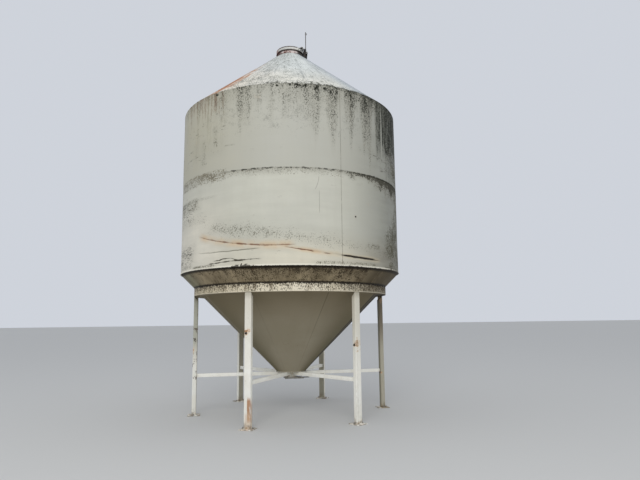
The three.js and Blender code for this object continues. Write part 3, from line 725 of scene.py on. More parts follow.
def roof_paint():
    material, bench, place = start_finish("weathered roof paint")
    spot = around_axis(bench, place)
    outwards = bench.ramp(spot.radius, 0.5, 2.1)
    colour = bench.mix(tint(222, 224, 217), tint(230, 233, 227), bench.ramp(spot.flank, -30, 0))
    beige = bench.times(bench.ramp(spot.flank, -4, -44), bench.ramp(spot.radius, 0.7, 1.9))
    colour = bench.mix(colour, tint(246, 237, 222), beige, 0.94)
    # Painted shade: the right side is blue-grey and darker.
    colour = bench.mix(colour, tint(166, 173, 181), bench.ramp(spot.flank, 8, 44), 0.9)
    colour = bench.mix(colour, tint(112, 114, 120), bench.ramp(spot.flank, 24, 62), 0.50)
    cream = bench.times(bench.window(spot.flank, -50, 14, 16), bench.ramp(spot.radius, 1.15, 1.9))
    colour = bench.mix(colour, tint(242, 232, 210), cream, 0.50)
    cloud = bench.use(MOTTLE, Place=place, Scale=2.2)["Value"]
    colour = bench.mix(colour, tint(180, 184, 180), cloud, 0.40)
    drips = bench.use(STREAKS, Place=spot.rim, Scale=9.0, Amount=0.50)["Mask"]
    colour = bench.mix(colour, tint(150, 154, 151), drips, 0.50)
    pale = bench.use(STREAKS, Place=bench.stretch(spot.rim, (1, 1, 1), (3, 5, 0)), Scale=7.0, Amount=0.34)["Mask"]
    colour = bench.mix(colour, tint(226, 228, 224), pale, 0.5)
    lichen = bench.ramp(spot.flank, 12, -14, 0.42, 0.58)
    short = bench.stretch(spot.rim, (0.6, 0.6, 0.7))
    specks = bench.use(SPECKLE, Place=short, Scale=74.0, Amount=lichen, Patchy=0.8)["Mask"]
    colour = bench.mix(colour, tint(80, 84, 70), specks, 0.80)
    combed = bench.use(STREAKS, Place=bench.stretch(spot.rim, (1, 1, 1), (1, 4, 0)), Scale=30.0, Amount=0.44)["Mask"]
    colour = bench.mix(colour, tint(122, 128, 127), combed, bench.ramp(spot.flank, -8, 14, 0.15, 0.7))
    more = bench.times(outwards, bench.ramp(spot.flank, 0, -30, 0.42, 0.52))
    coarse = bench.use(SPECKLE, Place=place, Scale=26.0, Amount=more)["Mask"]
    colour = bench.mix(colour, tint(98, 98, 82), coarse, 0.75)
    side = bench.times(bench.ramp(spot.azimuth, -26, -48), bench.ramp(spot.azimuth, -150, -90))
    fading = bench.ramp(bench.noise(bench.stretch(spot.rim, (1.0, 1.0, 0.3)), 4.0, 4.0), 0.38, 0.60, 0.58, 1.0)
    upper_left = bench.times(bench.ramp(spot.flank, -42, -52), bench.ramp(spot.radius, 1.6, 0.9), 0.5)
    colour = bench.mix(colour, tint(136, 122, 110), upper_left)
    field = bench.times(side, fading, bench.ramp(spot.radius, 0.50, 1.25), 0.95)
    rust = bench.use(RUST, Place=spot.rim, Scale=1.8, Amount=field)
    colour = bench.mix(colour, tint(212, 174, 146), rust["Halo"], 0.80)
    older = bench.ramp(bench.noise(bench.stretch(spot.rim, (1.0, 1.0, 0.25)), 9.0, 4.0), 0.42, 0.60)
    oxide = bench.mix(tint(180, 120, 82), tint(140, 92, 64), older)
    colour = bench.mix(colour, oxide, rust["Core"], 0.80)
    dark = bench.curve(spot.flank, -FRONT, FRONT, FRINGE_DARK)
    fringe = bench.most(bench.times(bench.ramp(spot.radius, 1.75, 2.10), 0.62), bench.ramp(spot.radius, 2.02, 2.13))
    knots = bench.most(*[bench.spot(place, polar(azimuth, WALL_RADIUS, EAVE), size) for azimuth, _, size in KNOTS])
    grown = bench.most(bench.times(fringe, dark, 0.80), bench.times(knots, 0.78))
    clumps = bench.use(SPECKLE, Place=place, Scale=30.0, Amount=grown)["Mask"]
    colour = bench.mix(colour, tint(38, 38, 25), clumps, 0.96)
    low = bench.times(bench.ramp(spot.radius, 1.84, 2.11), dark, 0.66)
    along_slope = bench.stretch(spot.rim, (1.0, 1.0, 0.6))
    tufts = bench.use(SPECKLE, Place=along_slope, Scale=15.0, Amount=low, Patchy=0.9)["Mask"]
    colour = bench.mix(colour, tint(66, 66, 46), tufts, 0.85)
    notched = bench.ramp(bench.noise(place, 13.0, 3.0), 0.46, 0.60, 0.1, 0.9)
    edge = bench.times(bench.ramp(spot.radius, WALL_RADIUS - 0.016, WALL_RADIUS), notched)
    colour = bench.mix(colour, tint(54, 52, 40), edge)
    roughness = bench.ramp(bench.most(clumps, rust["Core"]), 0.0, 1.0, 0.55, 0.9)
    relief = bench.math("ADD", bench.times(bench.noise(place, 90.0, 2.0), 0.3), bench.times(specks, 0.4))
    close_finish(bench, colour, roughness, relief, 0.002)
    return material


ROOF_PAINT = roof_paint()
print("Roof paint has", len(ROOF_PAINT.node_tree.nodes), "nodes")

# %% [markdown]
# ## The lid's and collar's paint
# The lid is a duller grey than the roof, with a rusty line round its top edge and its bead. The collar
# under it never dries, so it shows a dark shadow line, then a band where red-brown rust and white paint
# take turns.

# %% Mix the lid's and collar's paint
LID_FOOT, LID_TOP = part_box("lid_cap")[0].z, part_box("lid_cap")[1].z
LID_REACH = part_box("lid_cap")[1].x


def lid_paint():
    material, bench, place = start_finish("dull lid paint")
    spot = around_axis(bench, place)
    cloud = bench.use(MOTTLE, Place=place, Scale=7.0)["Value"]
    colour = bench.mix(tint(226, 225, 218), tint(196, 195, 188), cloud)
    specks = bench.use(SPECKLE, Place=place, Scale=60.0, Amount=0.36)["Mask"]
    colour = bench.mix(colour, tint(110, 108, 98), specks, 0.7)
    top_edge = bench.times(bench.ramp(spot.height, LID_TOP - 0.030, LID_TOP - 0.020),
                           bench.ramp(spot.radius, 0.24, 0.27))
    bead = bench.ramp(spot.height, LID_FOOT + 0.022, LID_FOOT + 0.010)
    ragged = bench.ramp(bench.noise(place, 20.0), 0.36, 0.56, 0.7, 1.0)
    colour = bench.mix(colour, tint(78, 66, 60), top_edge, ragged)
    colour = bench.mix(colour, tint(44, 32, 28), bead, ragged)
    left_end = bench.times(bench.window(spot.azimuth, -110, -76, 18), bench.ramp(spot.radius, 0.265, 0.285), 0.8)
    colour = bench.mix(colour, tint(150, 112, 102), left_end)
    rust = bench.use(RUST, Place=place, Scale=16.0, Amount=0.34)
    colour = bench.mix(colour, tint(168, 132, 112), rust["Halo"], 0.6)
    close_finish(bench, colour, bench.ramp(specks, 0.0, 1.0, 0.5, 0.8), specks, 0.001)
    return material


def collar_paint():
    material, bench, place = start_finish("rusty collar paint")
    spot = around_axis(bench, place)
    rust = bench.use(RUST, Place=bench.stretch(place, (1.0, 1.0, 0.4)), Scale=13.0, Amount=0.62)
    colour = bench.mix(tint(222, 214, 208), tint(196, 166, 156), rust["Halo"], 0.9)
    colour = bench.mix(colour, tint(110, 72, 64), rust["Core"])
    shadow = bench.ramp(spot.height, LID_FOOT - 0.030, LID_FOOT - 0.006)
    colour = bench.mix(colour, tint(44, 30, 26), shadow, 0.95)
    dashes = bench.ramp(bench.noise(bench.stretch(place, (1.0, 1.0, 0.2)), 14.0, 2.0), 0.44, 0.54)
    second = bench.times(bench.window(spot.height, LID_FOOT - 0.072, LID_FOOT - 0.056, 0.008), dashes, 0.85)
    colour = bench.mix(colour, tint(84, 56, 50), second)
    left_end = bench.times(bench.ramp(spot.flank, -36, -60),
                           bench.ramp(spot.height, LID_FOOT - 0.12, LID_FOOT - 0.07))
    colour = bench.mix(colour, tint(70, 38, 34), left_end, 0.9)
    # Painted shadow: the right end, under the lid and by the hinge, is nearly black.
    right_end_shadow = bench.ramp(spot.flank, 18, 34)
    colour = bench.mix(colour, tint(34, 27, 23), right_end_shadow, 0.92)
    close_finish(bench, colour, bench.ramp(rust["Core"], 0.0, 1.0, 0.6, 0.9), rust["Core"], 0.001)
    return material


LID_PAINT = lid_paint()
COLLAR_PAINT = collar_paint()
print("Lid and collar paints are mixed")

# %% [markdown]
# ## The hopper's and the ring's paint
# Under the wall no rain washes the steel, so dust and dirt stay. The sloping part between the
# wall and the ring is nearly brown with black veins, with a painted shadow under the wall's lip, and the
# ring band is cream under dense black pepper. The hopper below is a dull grey-brown of dirt and painted
# shade, which darkens towards the ring and round its flanks as painted shade. A nearly black sheet on its
# right is painted shade, and each lap has a painted shade line and a painted highlight.

# %% Mix the hopper's and the ring's paint
RING_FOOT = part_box("support_ring_soffit")[0].z
RING_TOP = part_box("support_ring_band")[1].z
HOPPER_LAP = 14.0
HOPPER_SHEETS = 8


def hopper_dirt_and_shade(bench, place, spot):
    # Dirt and painted shade: the base grey-brown is darker than the wall's cream and also stands for the hopper's
    # shade.
    colour = bench.mix(tint(160, 151, 130), tint(152, 143, 121), bench.use(MOTTLE, Place=place, Scale=1.3)["Value"])
    runs = bench.use(STREAKS, Place=spot.rim, Scale=6.0, Amount=0.40)["Mask"]
    colour = bench.mix(colour, tint(138, 129, 108), runs, 0.35)
    dust = bench.use(SPECKLE, Place=place, Scale=30.0, Amount=0.22)["Mask"]
    colour = bench.mix(colour, tint(118, 109, 88), dust, 0.5)
    # Painted shade: darker round the flanks and towards the ring.
    aside = bench.math("ABSOLUTE", bench.math("ADD", spot.flank, 8.0))
    colour = bench.mix(colour, tint(108, 99, 70), bench.ramp(aside, 22, 64), 0.88)
    colour = bench.mix(colour, tint(118, 104, 76), bench.ramp(spot.height, 1.45, 2.2), 0.65)
    # Painted shade: a nearly black sheet on the right, where the hopper lies in shade.
    colour = bench.mix(colour, tint(44, 35, 21), bench.window(spot.azimuth, 57.8, 103.5, 1.0), 0.90)
    # Painted shade: a dark line along each sheet's lap.
    turn = bench.math("MODULO", bench.math("ADD", spot.azimuth, 360.0 - HOPPER_LAP), 360.0 / HOPPER_SHEETS)
    lap = bench.times(bench.line(turn, 0.5, 0.55), bench.ramp(spot.height, 2.2, 1.1, 0.52, 0.30))
    lap = bench.times(lap, bench.ramp(spot.flank, -20, 8, 0.35, 1.0))
    colour = bench.mix(colour, tint(84, 76, 58), lap)
    # Painted highlight: a paler strip beside each lap on the far flanks.
    lap_strip_highlight = bench.times(bench.window(turn, 1.4, 3.2, 1.0), bench.ramp(aside, 40, 60), 0.22)
    return bench.mix(colour, tint(172, 162, 140), lap_strip_highlight), dust


def brown_shelf(bench, place, spot):
    """The part above the ring: brown, veined and peppered, smoother on the right, with painted shade under the wall.
    """
    plain = bench.ramp(spot.flank, 28, 40)
    colour = bench.mix(tint(168, 152, 122), tint(80, 69, 47), plain)
    colour = bench.mix(colour, tint(134, 138, 112), bench.ramp(spot.flank, -58, -74), 0.7)
    clouds = bench.use(MOTTLE, Place=spot.rim, Scale=5.0)["Value"]
    colour = bench.mix(colour, tint(114, 101, 77), clouds, 0.6)
    pale = bench.use(STREAKS, Place=bench.stretch(spot.rim, (1, 1, 2), (7, 1, 0)), Scale=14.0, Amount=0.34)["Mask"]
    colour = bench.mix(colour, tint(160, 138, 104), pale, 0.5)
    sooty = bench.ramp(bench.noise(bench.stretch(spot.rim, (1.0, 1.0, 0.5)), 3.2, 4.0), 0.42, 0.62, 0.0, 0.40)
    colour = bench.mix(colour, tint(92, 78, 54), sooty, bench.ramp(plain, 1.0, 0.0))
    busy = bench.ramp(plain, 0.0, 1.0, 1.0, 0.30)
    grown = bench.times(busy, bench.ramp(spot.flank, -60, -30, 0.6, 1.0))
    under_wall = bench.ramp(spot.height, RING_TOP + 0.05, WALL_FOOT)
    pepper = bench.use(SPECKLE, Place=bench.stretch(spot.rim, (1.0, 1.0, 1.5)), Scale=50.0, Patchy=1.3,
                       Amount=bench.times(grown, bench.ramp(under_wall, 0.0, 1.0, 0.52, 0.76)))["Mask"]
    veins = bench.use(STREAKS, Place=bench.stretch(spot.rim, (1.0, 1.0, 8.0)), Scale=20.0,
                      Amount=bench.times(grown, bench.ramp(under_wall, 0.0, 1.0, 0.46, 0.62)))["Mask"]
    colour = bench.mix(colour, tint(42, 32, 18), bench.most(pepper, veins), 0.84)
    red = bench.use(RUST, Place=spot.rim, Scale=5.0, Amount=bench.times(busy, 0.24))
    colour = bench.mix(colour, tint(112, 70, 46), red["Halo"], 0.6)
    # Dirt and painted shade: ragged dark specks right under the wall's foot.
    dirt_and_shade_under_wall = bench.times(bench.ramp(spot.height, WALL_FOOT - 0.090, WALL_FOOT + 0.030), grown, 1.1)
    foot_line = bench.times(bench.ramp(spot.height, RING_TOP + 0.055, RING_TOP - 0.010), 1.1)
    ragged = bench.use(SPECKLE, Place=place, Scale=30.0, Amount=bench.most(dirt_and_shade_under_wall, foot_line), Patchy=0.7)["Mask"]
    colour = bench.mix(colour, tint(36, 28, 17), ragged, 0.90)
    # Painted shadow: a dark line under the wall's lip.
    shadow_under_wall_lip = bench.times(bench.ramp(spot.height, WALL_FOOT - 0.060, WALL_FOOT - 0.020),
                         bench.ramp(pale, 1.0, 0.0, 0.7, 0.95))
    corner = bench.times(bench.ramp(spot.height, RING_TOP + 0.035, RING_TOP + 0.008), 0.8)
    return bench.mix(colour, tint(34, 26, 14), bench.most(shadow_under_wall_lip, corner)), pepper


def hopper_paint():
    material, bench, place = start_finish("shaded hopper paint")
    spot = around_axis(bench, place)
    below, dust = hopper_dirt_and_shade(bench, place, spot)
    above, pepper = brown_shelf(bench, place, spot)
    over_ring = bench.ramp(spot.height, RING_TOP - 0.02, RING_TOP - 0.01)
    colour = bench.mix(below, above, over_ring)
    rough_dirt = bench.most(dust, bench.times(pepper, over_ring))
    relief = bench.math("ADD", bench.times(bench.noise(place, 70.0, 3.0), 0.35), bench.times(rough_dirt, 0.4))
    close_finish(bench, colour, bench.ramp(rough_dirt, 0.0, 1.0, 0.62, 0.88), relief, 0.002)
    return material


def ring_paint():
    material, bench, place = start_finish("peppered ring paint")
    spot = around_axis(bench, place)
    colour = bench.mix(tint(240, 230, 206), tint(222, 211, 185), bench.use(MOTTLE, Place=place, Scale=2.0)["Value"])
    right = bench.ramp(spot.flank, 8, 48)
    colour = bench.mix(colour, tint(188, 172, 138), bench.ramp(spot.flank, -16, -60), 0.65)
    colour = bench.mix(colour, tint(126, 114, 90), right, 0.85)
    stains = bench.use(STREAKS, Place=place, Scale=14.0, Amount=0.52)["Mask"]
    colour = bench.mix(colour, tint(138, 121, 92), stains, 0.62)
    share = bench.ramp(spot.height, RING_FOOT, RING_TOP)
    amount = bench.math("ADD", bench.times(share, 0.18), bench.ramp(right, 0.0, 1.0, 0.55, 0.66))
    short = bench.stretch(place, (1.0, 1.0, 0.7))
    specks = bench.use(SPECKLE, Place=short, Scale=46.0, Amount=amount, Patchy=0.55)["Mask"]
    colour = bench.mix(colour, tint(58, 47, 30), specks, 0.86)
    near_top = bench.times(bench.ramp(spot.height, RING_TOP - 0.055, RING_TOP + 0.010), 1.1)
    ragged = bench.use(SPECKLE, Place=place, Scale=30.0, Amount=near_top, Patchy=0.7)["Mask"]
    colour = bench.mix(colour, tint(32, 26, 17), ragged, 0.92)
    lip = bench.ramp(spot.height, RING_FOOT + 0.024, RING_FOOT + 0.008)
    colour = bench.mix(colour, tint(226, 217, 194), lip, 0.8)
    seam = bench.line(spot.azimuth, -2.0, 0.35)
    colour = bench.mix(colour, tint(224, 216, 196), seam, 0.7)
    close_finish(bench, colour, bench.ramp(specks, 0.0, 1.0, 0.55, 0.85), bench.times(specks, 0.6), 0.0015)
    return material


HOPPER_PAINT = hopper_paint()
RING_PAINT = ring_paint()
print("Hopper and ring paints are mixed")

# %% [markdown]
# ## The legs' paint
# The legs were brushed white by hand. The sides that face the silo's middle are darkened grey-brown as
# dirt and painted shade under the silo, and the leg on the right is darkened as painted shade. Paint has
# flaked along the tubes' corners, rust bleeds from bolt holes and down the front leg's foot, and mud has
# splashed the lowest hand's width. All six legs are alike, so the azimuth folded to one sixth of a turn
# gives a place across any leg.

# %% Mix the legs' paint
LEGS = 6
LEG_STEP = 360 / LEGS
FIRST_LEG = -30
LEG_MIDDLE = 1.836
LEG_FACE = 1.876
LEG_INNER = 1.796
LEG_HALF_WIDTH = 0.060
BOLT_SPOTS = [polar(-30, LEG_FACE, 1.53, -0.028), polar(30, 1.84, 1.305, -LEG_HALF_WIDTH),
              polar(90, LEG_INNER, 0.69, -0.045)]
BOLT_WAYS = [polar(-30, 1, 0), polar(30, 0, 0, -1), polar(90, -1, 0)]
RUST_SPOTS = [
    SimpleNamespace(centre=polar(-30, LEG_FACE, 1.555, -0.01), size=0.125, most=0.80),
    SimpleNamespace(centre=polar(30, LEG_FACE, 1.335, -0.02), size=0.16, most=0.80),
    SimpleNamespace(centre=polar(30, LEG_FACE, 1.23, 0.0), size=0.15, most=0.50),
    SimpleNamespace(centre=BOLT_SPOTS[1], size=0.07, most=0.90),
    SimpleNamespace(centre=BOLT_SPOTS[2], size=0.08, most=0.90),
    SimpleNamespace(centre=polar(-30, LEG_FACE, 1.455, -0.02), size=0.035, most=0.60),
    SimpleNamespace(centre=polar(-90, LEG_FACE, 1.18, 0.03), size=0.13, most=0.85),
    SimpleNamespace(centre=polar(90, LEG_MIDDLE, 2.14, 0.0), size=0.24, most=0.60),
]


def across_leg(bench, spot):
    """How far a point lies to the side of its leg's middle, and how far out."""
    folded = bench.math("MODULO", bench.math("ADD", spot.azimuth, 360.0), LEG_STEP)
    turn = bench.math("RADIANS", bench.math("SUBTRACT", folded, LEG_STEP / 2))
    side = bench.times(spot.radius, bench.math("SINE", turn))
    return side, bench.times(spot.radius, bench.math("COSINE", turn))


def leg_paint():
    material, bench, place = start_finish("brushed white leg paint")
    spot = around_axis(bench, place)
    side, outwards = across_leg(bench, spot)
    colour = bench.mix(tint(254, 252, 242), tint(246, 242, 229), bench.use(MOTTLE, Place=place, Scale=4.0)["Value"])
    colour = bench.mix(colour, tint(220, 213, 196), bench.ramp(spot.height, 0.9, 2.1), 0.78)
    brush = bench.use(STREAKS, Place=place, Scale=18.0, Amount=0.40)["Mask"]
    colour = bench.mix(colour, tint(202, 197, 182), brush, 0.36)
    specks = bench.use(SPECKLE, Place=place, Scale=70.0, Amount=0.22)["Mask"]
    colour = bench.mix(colour, tint(130, 120, 100), specks, 0.6)

    on_leg = bench.ramp(outwards, 1.78, 1.79)
    # Painted shade: the leg on the right is darkened, and more so towards its top.
    shaded_right_leg = bench.times(bench.window(spot.azimuth, 86, 94, 3), on_leg)
    colour = bench.mix(colour, tint(158, 150, 126), shaded_right_leg, 0.80)
    shaded_right_leg_top = bench.times(shaded_right_leg, bench.ramp(spot.height, 1.1, 1.7), 0.7)
    colour = bench.mix(colour, tint(116, 102, 84), shaded_right_leg_top)
    left_leg = bench.times(bench.ramp(spot.azimuth, -82, -86), bench.ramp(spot.azimuth, -98, -94), on_leg)
    colour = bench.mix(colour, tint(176, 176, 160), left_leg, bench.ramp(spot.height, 0.9, 1.5, 0.1, 0.9))
    # Dirt and painted shade: the faces towards the silo's middle are darkened.
    inside = bench.window(outwards, LEG_INNER - 0.0012, LEG_INNER + 0.002, 0.002)
    colour = bench.mix(colour, tint(150, 144, 122), inside, 0.85)

    edge = bench.times(bench.ramp(bench.math("ABSOLUTE", side), 0.046, 0.058),
                       bench.most(bench.ramp(outwards, LEG_FACE - 0.014, LEG_FACE - 0.002),
                                  bench.window(outwards, LEG_INNER - 0.002, LEG_INNER + 0.004, 0.008)))
    peeling = bench.times(left_leg, bench.window(spot.height, 0.75, 1.5, 0.3))
    by_corner = bench.ramp(bench.math("ABSOLUTE", side), 0.020, 0.052, 0.36, 0.66)
    amount = bench.most(bench.times(edge, 0.30), bench.times(peeling, by_corner))
    long_way = bench.stretch(place, (1, 1, 0.5))
    flakes = bench.use(SPECKLE, Place=long_way, Scale=26.0, Amount=bench.times(on_leg, amount))["Mask"]
    flake_colour = bench.mix(tint(116, 78, 54), tint(58, 44, 36), peeling)
    colour = bench.mix(colour, flake_colour, flakes, 0.9)

    near = bench.most(*[bench.times(bench.spot(place, rust.centre, rust.size), rust.most) for rust in RUST_SPOTS])
    feet = bench.times(bench.ramp(spot.height, 0.20, 0.02), 0.45)
    rust = bench.use(RUST, Place=place, Scale=16.0, Amount=bench.most(near, feet))
    colour = bench.mix(colour, tint(222, 184, 142), rust["Halo"], 0.9)
    colour = bench.mix(colour, tint(150, 102, 66), rust["Core"], 0.8)
    front_leg = bench.window(spot.azimuth, -31.9, -28.1, 0.3)
    right_half = bench.window(side, 0.006, 0.056, 0.010)
    stained = bench.times(front_leg, right_half, bench.window(spot.height, 0.17, 0.44, 0.09))
    ragged = bench.ramp(bench.noise(bench.stretch(place, (1, 1, 0.25)), 22.0, 4.0), 0.30, 0.52)
    colour = bench.mix(colour, tint(182, 132, 92), stained, ragged, 0.92)
    below_stain = bench.times(front_leg, bench.window(side, -0.03, 0.056, 0.02),
                              bench.window(spot.height, 0.0, 0.2, 0.1))
    colour = bench.mix(colour, tint(220, 188, 154), below_stain, 0.5)
    dull_leg = bench.times(bench.window(spot.azimuth, 26, 34, 1), on_leg, bench.ramp(spot.height, 0.8, 1.5))
    colour = bench.mix(colour, tint(196, 190, 170), dull_leg, 0.40)

    colour = bench.mix(colour, tint(150, 140, 116), bench.ramp(spot.height, 2.06, 2.20), on_leg, 0.5)
    mud = bench.times(bench.ramp(spot.height, 0.16, 0.0), bench.ramp(bench.noise(place, 12.0), 0.35, 0.6))
    colour = bench.mix(colour, EARTH, mud, 0.8)
    roughness = bench.ramp(bench.most(rust["Core"], flakes, mud), 0.0, 1.0, 0.5, 0.9)
    relief = bench.math("SUBTRACT", bench.times(bench.noise(place, 60.0, 2.0), 0.3), bench.times(flakes, 0.8))
    close_finish(bench, colour, roughness, relief, 0.0015)
    return material


LEG_PAINT = leg_paint()
print("Leg paint bleeds rust at", len(RUST_SPOTS), "places")

# %% [markdown]
# ## Bare and dark steel
# The lid's fittings were never painted, or have lost it all, and are dark with old rust; their near-black
# base also stands in as painted shade round the hinge. The gate and its rails are worn bright where they
# rub and dull elsewhere, and springs and new bolts still have their zinc, near white so that it also gives
# them painted highlights. One recipe makes all four steels, from a base and a rust colour, because only
# the values differ.

# %% Mix the steels


def bare_steel(name, base, worn, rust_colour, rust_amount, metallic):
    material, bench, place = start_finish(name)
    cloud = bench.use(MOTTLE, Place=place, Scale=22.0)["Value"]
    colour = bench.mix(base, worn, cloud, 0.5)
    rust = bench.use(RUST, Place=place, Scale=24.0, Amount=rust_amount)
    colour = bench.mix(colour, rust_colour, rust["Halo"], 0.8)
    colour = bench.mix(colour, RUST_DARK, rust["Core"], 0.5)
    edge = bench.use(WORN_EDGE, Place=place, Scale=50.0, Amount=0.6)["Mask"]
    colour = bench.mix(colour, worn, edge, 0.6)
    bare = bench.math("SUBTRACT", 1.0, rust["Halo"], clamp=True)
    roughness = bench.ramp(rust["Halo"], 0.0, 1.0, 0.45, 0.85)
    close_finish(bench, colour, roughness, bench.noise(place, 90.0, 3.0), 0.001, bench.times(bare, metallic), 0.5)
    return material


def outlet_paint():
    """White paint that grain has polished and rust has spotted."""
    material, bench, place = start_finish("spotted outlet paint")
    cloud = bench.use(MOTTLE, Place=place, Scale=9.0)["Value"]
    colour = bench.mix(tint(246, 243, 232), tint(222, 216, 198), cloud)
    rust = bench.use(RUST, Place=place, Scale=20.0, Amount=0.42)
    colour = bench.mix(colour, tint(206, 170, 134), rust["Halo"], 0.8)
    colour = bench.mix(colour, RUST_DARK, rust["Core"])
    specks = bench.use(SPECKLE, Place=place, Scale=90.0, Amount=0.36)["Mask"]
    colour = bench.mix(colour, GRIME, specks, 0.7)
    close_finish(bench, colour, bench.ramp(rust["Core"], 0.0, 1.0, 0.45, 0.9), specks, 0.001)
    return material


OUTLET_PAINT = outlet_paint()
# Dark steel and painted shade: the near-black base also stands for the shade round the hinge.
DARK_STEEL_AND_SHADE = bare_steel("dark lid steel and painted shade", tint(24, 22, 20), tint(62, 60, 55), tint(48, 36, 29), 0.45, 0.3)
LEVER_STEEL = bare_steel("dull lever steel", tint(72, 68, 63), tint(110, 106, 98), tint(92, 74, 60), 0.40, 0.3)
WORN_STEEL = bare_steel("worn gate steel", tint(122, 118, 110), tint(176, 173, 165), tint(140, 112, 86), 0.40, 0.5)
# Zinc and painted highlight: the near-white base also gives the springs and bolts their highlights.
ZINC_AND_HIGHLIGHT = bare_steel("zinc fittings and painted highlight", tint(226, 224, 215), tint(240, 238, 230), tint(168, 138, 112), 0.24, 0.1)
print("Four steels are mixed")

# %% [markdown]
# ## Tools for building pieces
# A round shell is one outline turned about the silo's axis, which is what the spin operator does. Using
# a full turn with its ends merged gives a closed ring. Square steel already has its right size in the
# model, so a copy of its mesh is merged, its flat triangles are joined to clean faces, and its sharp
# corners get a small bevel, because real steel has no knife edges and a bevel catches the light.

# %% Turn, soften and hand over a piece
FULL_TURN = 2 * math.pi
MERGE = 0.00002
SMOOTH_ANGLE = math.radians(40)
FLAT_ANGLE = math.radians(1)
CORNER_ANGLE = math.radians(35)
SHELL_STEPS = 288
ROUNDING = {"offset_type": "OFFSET", "segments": 2, "profile": 0.5, "affect": "EDGES", "material": -1}


def turned(outline, steps, cuts=None):
    """A closed outline of (radius, height) turned once. cuts says how often a side is divided first."""
    bm = bmesh.new()
    corners = [bm.verts.new((0.0, -radius, height)) for radius, height in outline]
    sides = [bm.edges.new(pair) for pair in zip(corners, corners[1:] + corners[:1])]
    for side, count in (cuts or {}).items():
        bmesh.ops.subdivide_edges(bm, edges=[sides[side]], cuts=count)
    profile = bm.verts[:] + bm.edges[:]
    bmesh.ops.spin(bm, geom=profile, cent=(0, 0, 0), axis=(0, 0, 1), angle=FULL_TURN, steps=steps, use_merge=True)
    bmesh.ops.remove_doubles(bm, verts=bm.verts, dist=MERGE)
    bmesh.ops.recalc_face_normals(bm, faces=bm.faces)
    return bm


def softened(node, width):
    """A copy of a node's mesh with clean faces and small round corners."""
    bm = bmesh.new()
    bm.from_mesh(nodes[node].data)
    bmesh.ops.remove_doubles(bm, verts=bm.verts, dist=MERGE)
    bmesh.ops.dissolve_limit(bm, angle_limit=FLAT_ANGLE, verts=bm.verts, edges=bm.edges)
    corners = [edge for edge in bm.edges if edge.is_manifold and edge.calc_face_angle() > CORNER_ANGLE]
    bmesh.ops.bevel(bm, geom=corners, offset=width, clamp_overlap=True, **ROUNDING)
    return bm


def hand_over(name, bm, material, body="silo", stands_for=()):
    """Makes the object, shades it, and hangs it on its body."""
    mesh = bpy.data.meshes.new(name)
    bm.to_mesh(mesh)
    bm.free()
    mesh.materials.append(material)
    mesh.shade_smooth()
    mesh.set_sharp_from_angle(angle=SMOOTH_ANGLE)
    piece = bpy.data.objects.new(name, mesh)
    scene.collection.objects.link(piece)
    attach(piece, body)
    if stands_for:
        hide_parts(*stands_for)
    print(f"{name}: {len(mesh.polygons)} faces")


def hand_over_node(node, width, material, body="silo", ending="_steel"):
    """A softened copy of a node takes the node's place."""
    hand_over(node + ending, softened(node, width), material, body, [node])


# %% [markdown]
# ## The wall
# Two courses of plate are rolled and welded into one tube. The welds pull the plate in a few
# millimetres, and the lower course has buckled along a crease, so the tube isn't true. The rings are
# turned with rows close enough to hold that, and each vertex then moves in or out by a sum of bells.

# %% Roll the two wall courses
PLATE = 0.003
CREASE_ZONE = 3.32
FINE_ROWS, WIDE_ROWS, UPPER_ROWS = 58, 17, 24
MID_DIP = SimpleNamespace(depth=0.0035, width=0.045)
SEAM_DIP = SimpleNamespace(depth=0.0025, degrees=1.1)
CREASE_WIDTH, CREASE_FADE = 0.013, 6
BULGE = SimpleNamespace(share=0.5, drop=0.045, width=0.04)
ROLLING = SimpleNamespace(depth=0.003, around=3, up=1.1, ends=0.15)


def bell(value, middle, width):
    return math.exp(-(((value - middle) / width) ** 2))


def fade(value, start, end, soft):
    """1 from start to end, falling smoothly over soft outside them."""
    rise = min(max((value - start + soft) / soft, 0.0), 1.0)
    fall = min(max((end + soft - value) / soft, 0.0), 1.0)
    return rise * rise * (3 - 2 * rise) * fall * fall * (3 - 2 * fall)


def shell_noise(azimuth, height, around, up):
    """Smooth noise from about -1 to 1 over a round shell, finer where around and up are larger."""
    turn = math.radians(azimuth)
    return noise.noise(Vector((around * math.sin(turn), around * math.cos(turn), up * height)))


def wall_offset(azimuth, height):
    """How far the plate stands out from a true tube, in metres."""
    offset = -MID_DIP.depth * bell(height, MID_SEAM, MID_DIP.width)
    for seam in SEAMS:
        gap = (azimuth - seam + 180) % 360 - 180
        offset -= SEAM_DIP.depth * bell(gap, 0, SEAM_DIP.degrees)
    for crease in CREASES.values():
        reach = fade(azimuth, crease.start + CREASE_FADE, crease.end - CREASE_FADE, CREASE_FADE)
        line = crease.height(azimuth)
        offset -= crease.depth * reach * bell(height, line, CREASE_WIDTH)
        offset += BULGE.share * crease.depth * reach * bell(height, line - BULGE.drop, BULGE.width)
    rolling = shell_noise(azimuth, height, ROLLING.around, ROLLING.up)
    ends = min(1.0, (height - WALL_FOOT) / ROLLING.ends, (EAVE - height) / ROLLING.ends)
    return offset + ROLLING.depth * rolling * max(ends, 0.0)


def push(bm, offset):
    """Moves every vertex in or out by offset(azimuth, height)."""
    for vert in bm.verts:
        azimuth = math.degrees(math.atan2(vert.co.x, -vert.co.y))
        out = Vector((vert.co.x, vert.co.y, 0.0)).normalized()
        vert.co += out * offset(azimuth, vert.co.z)
    return bm


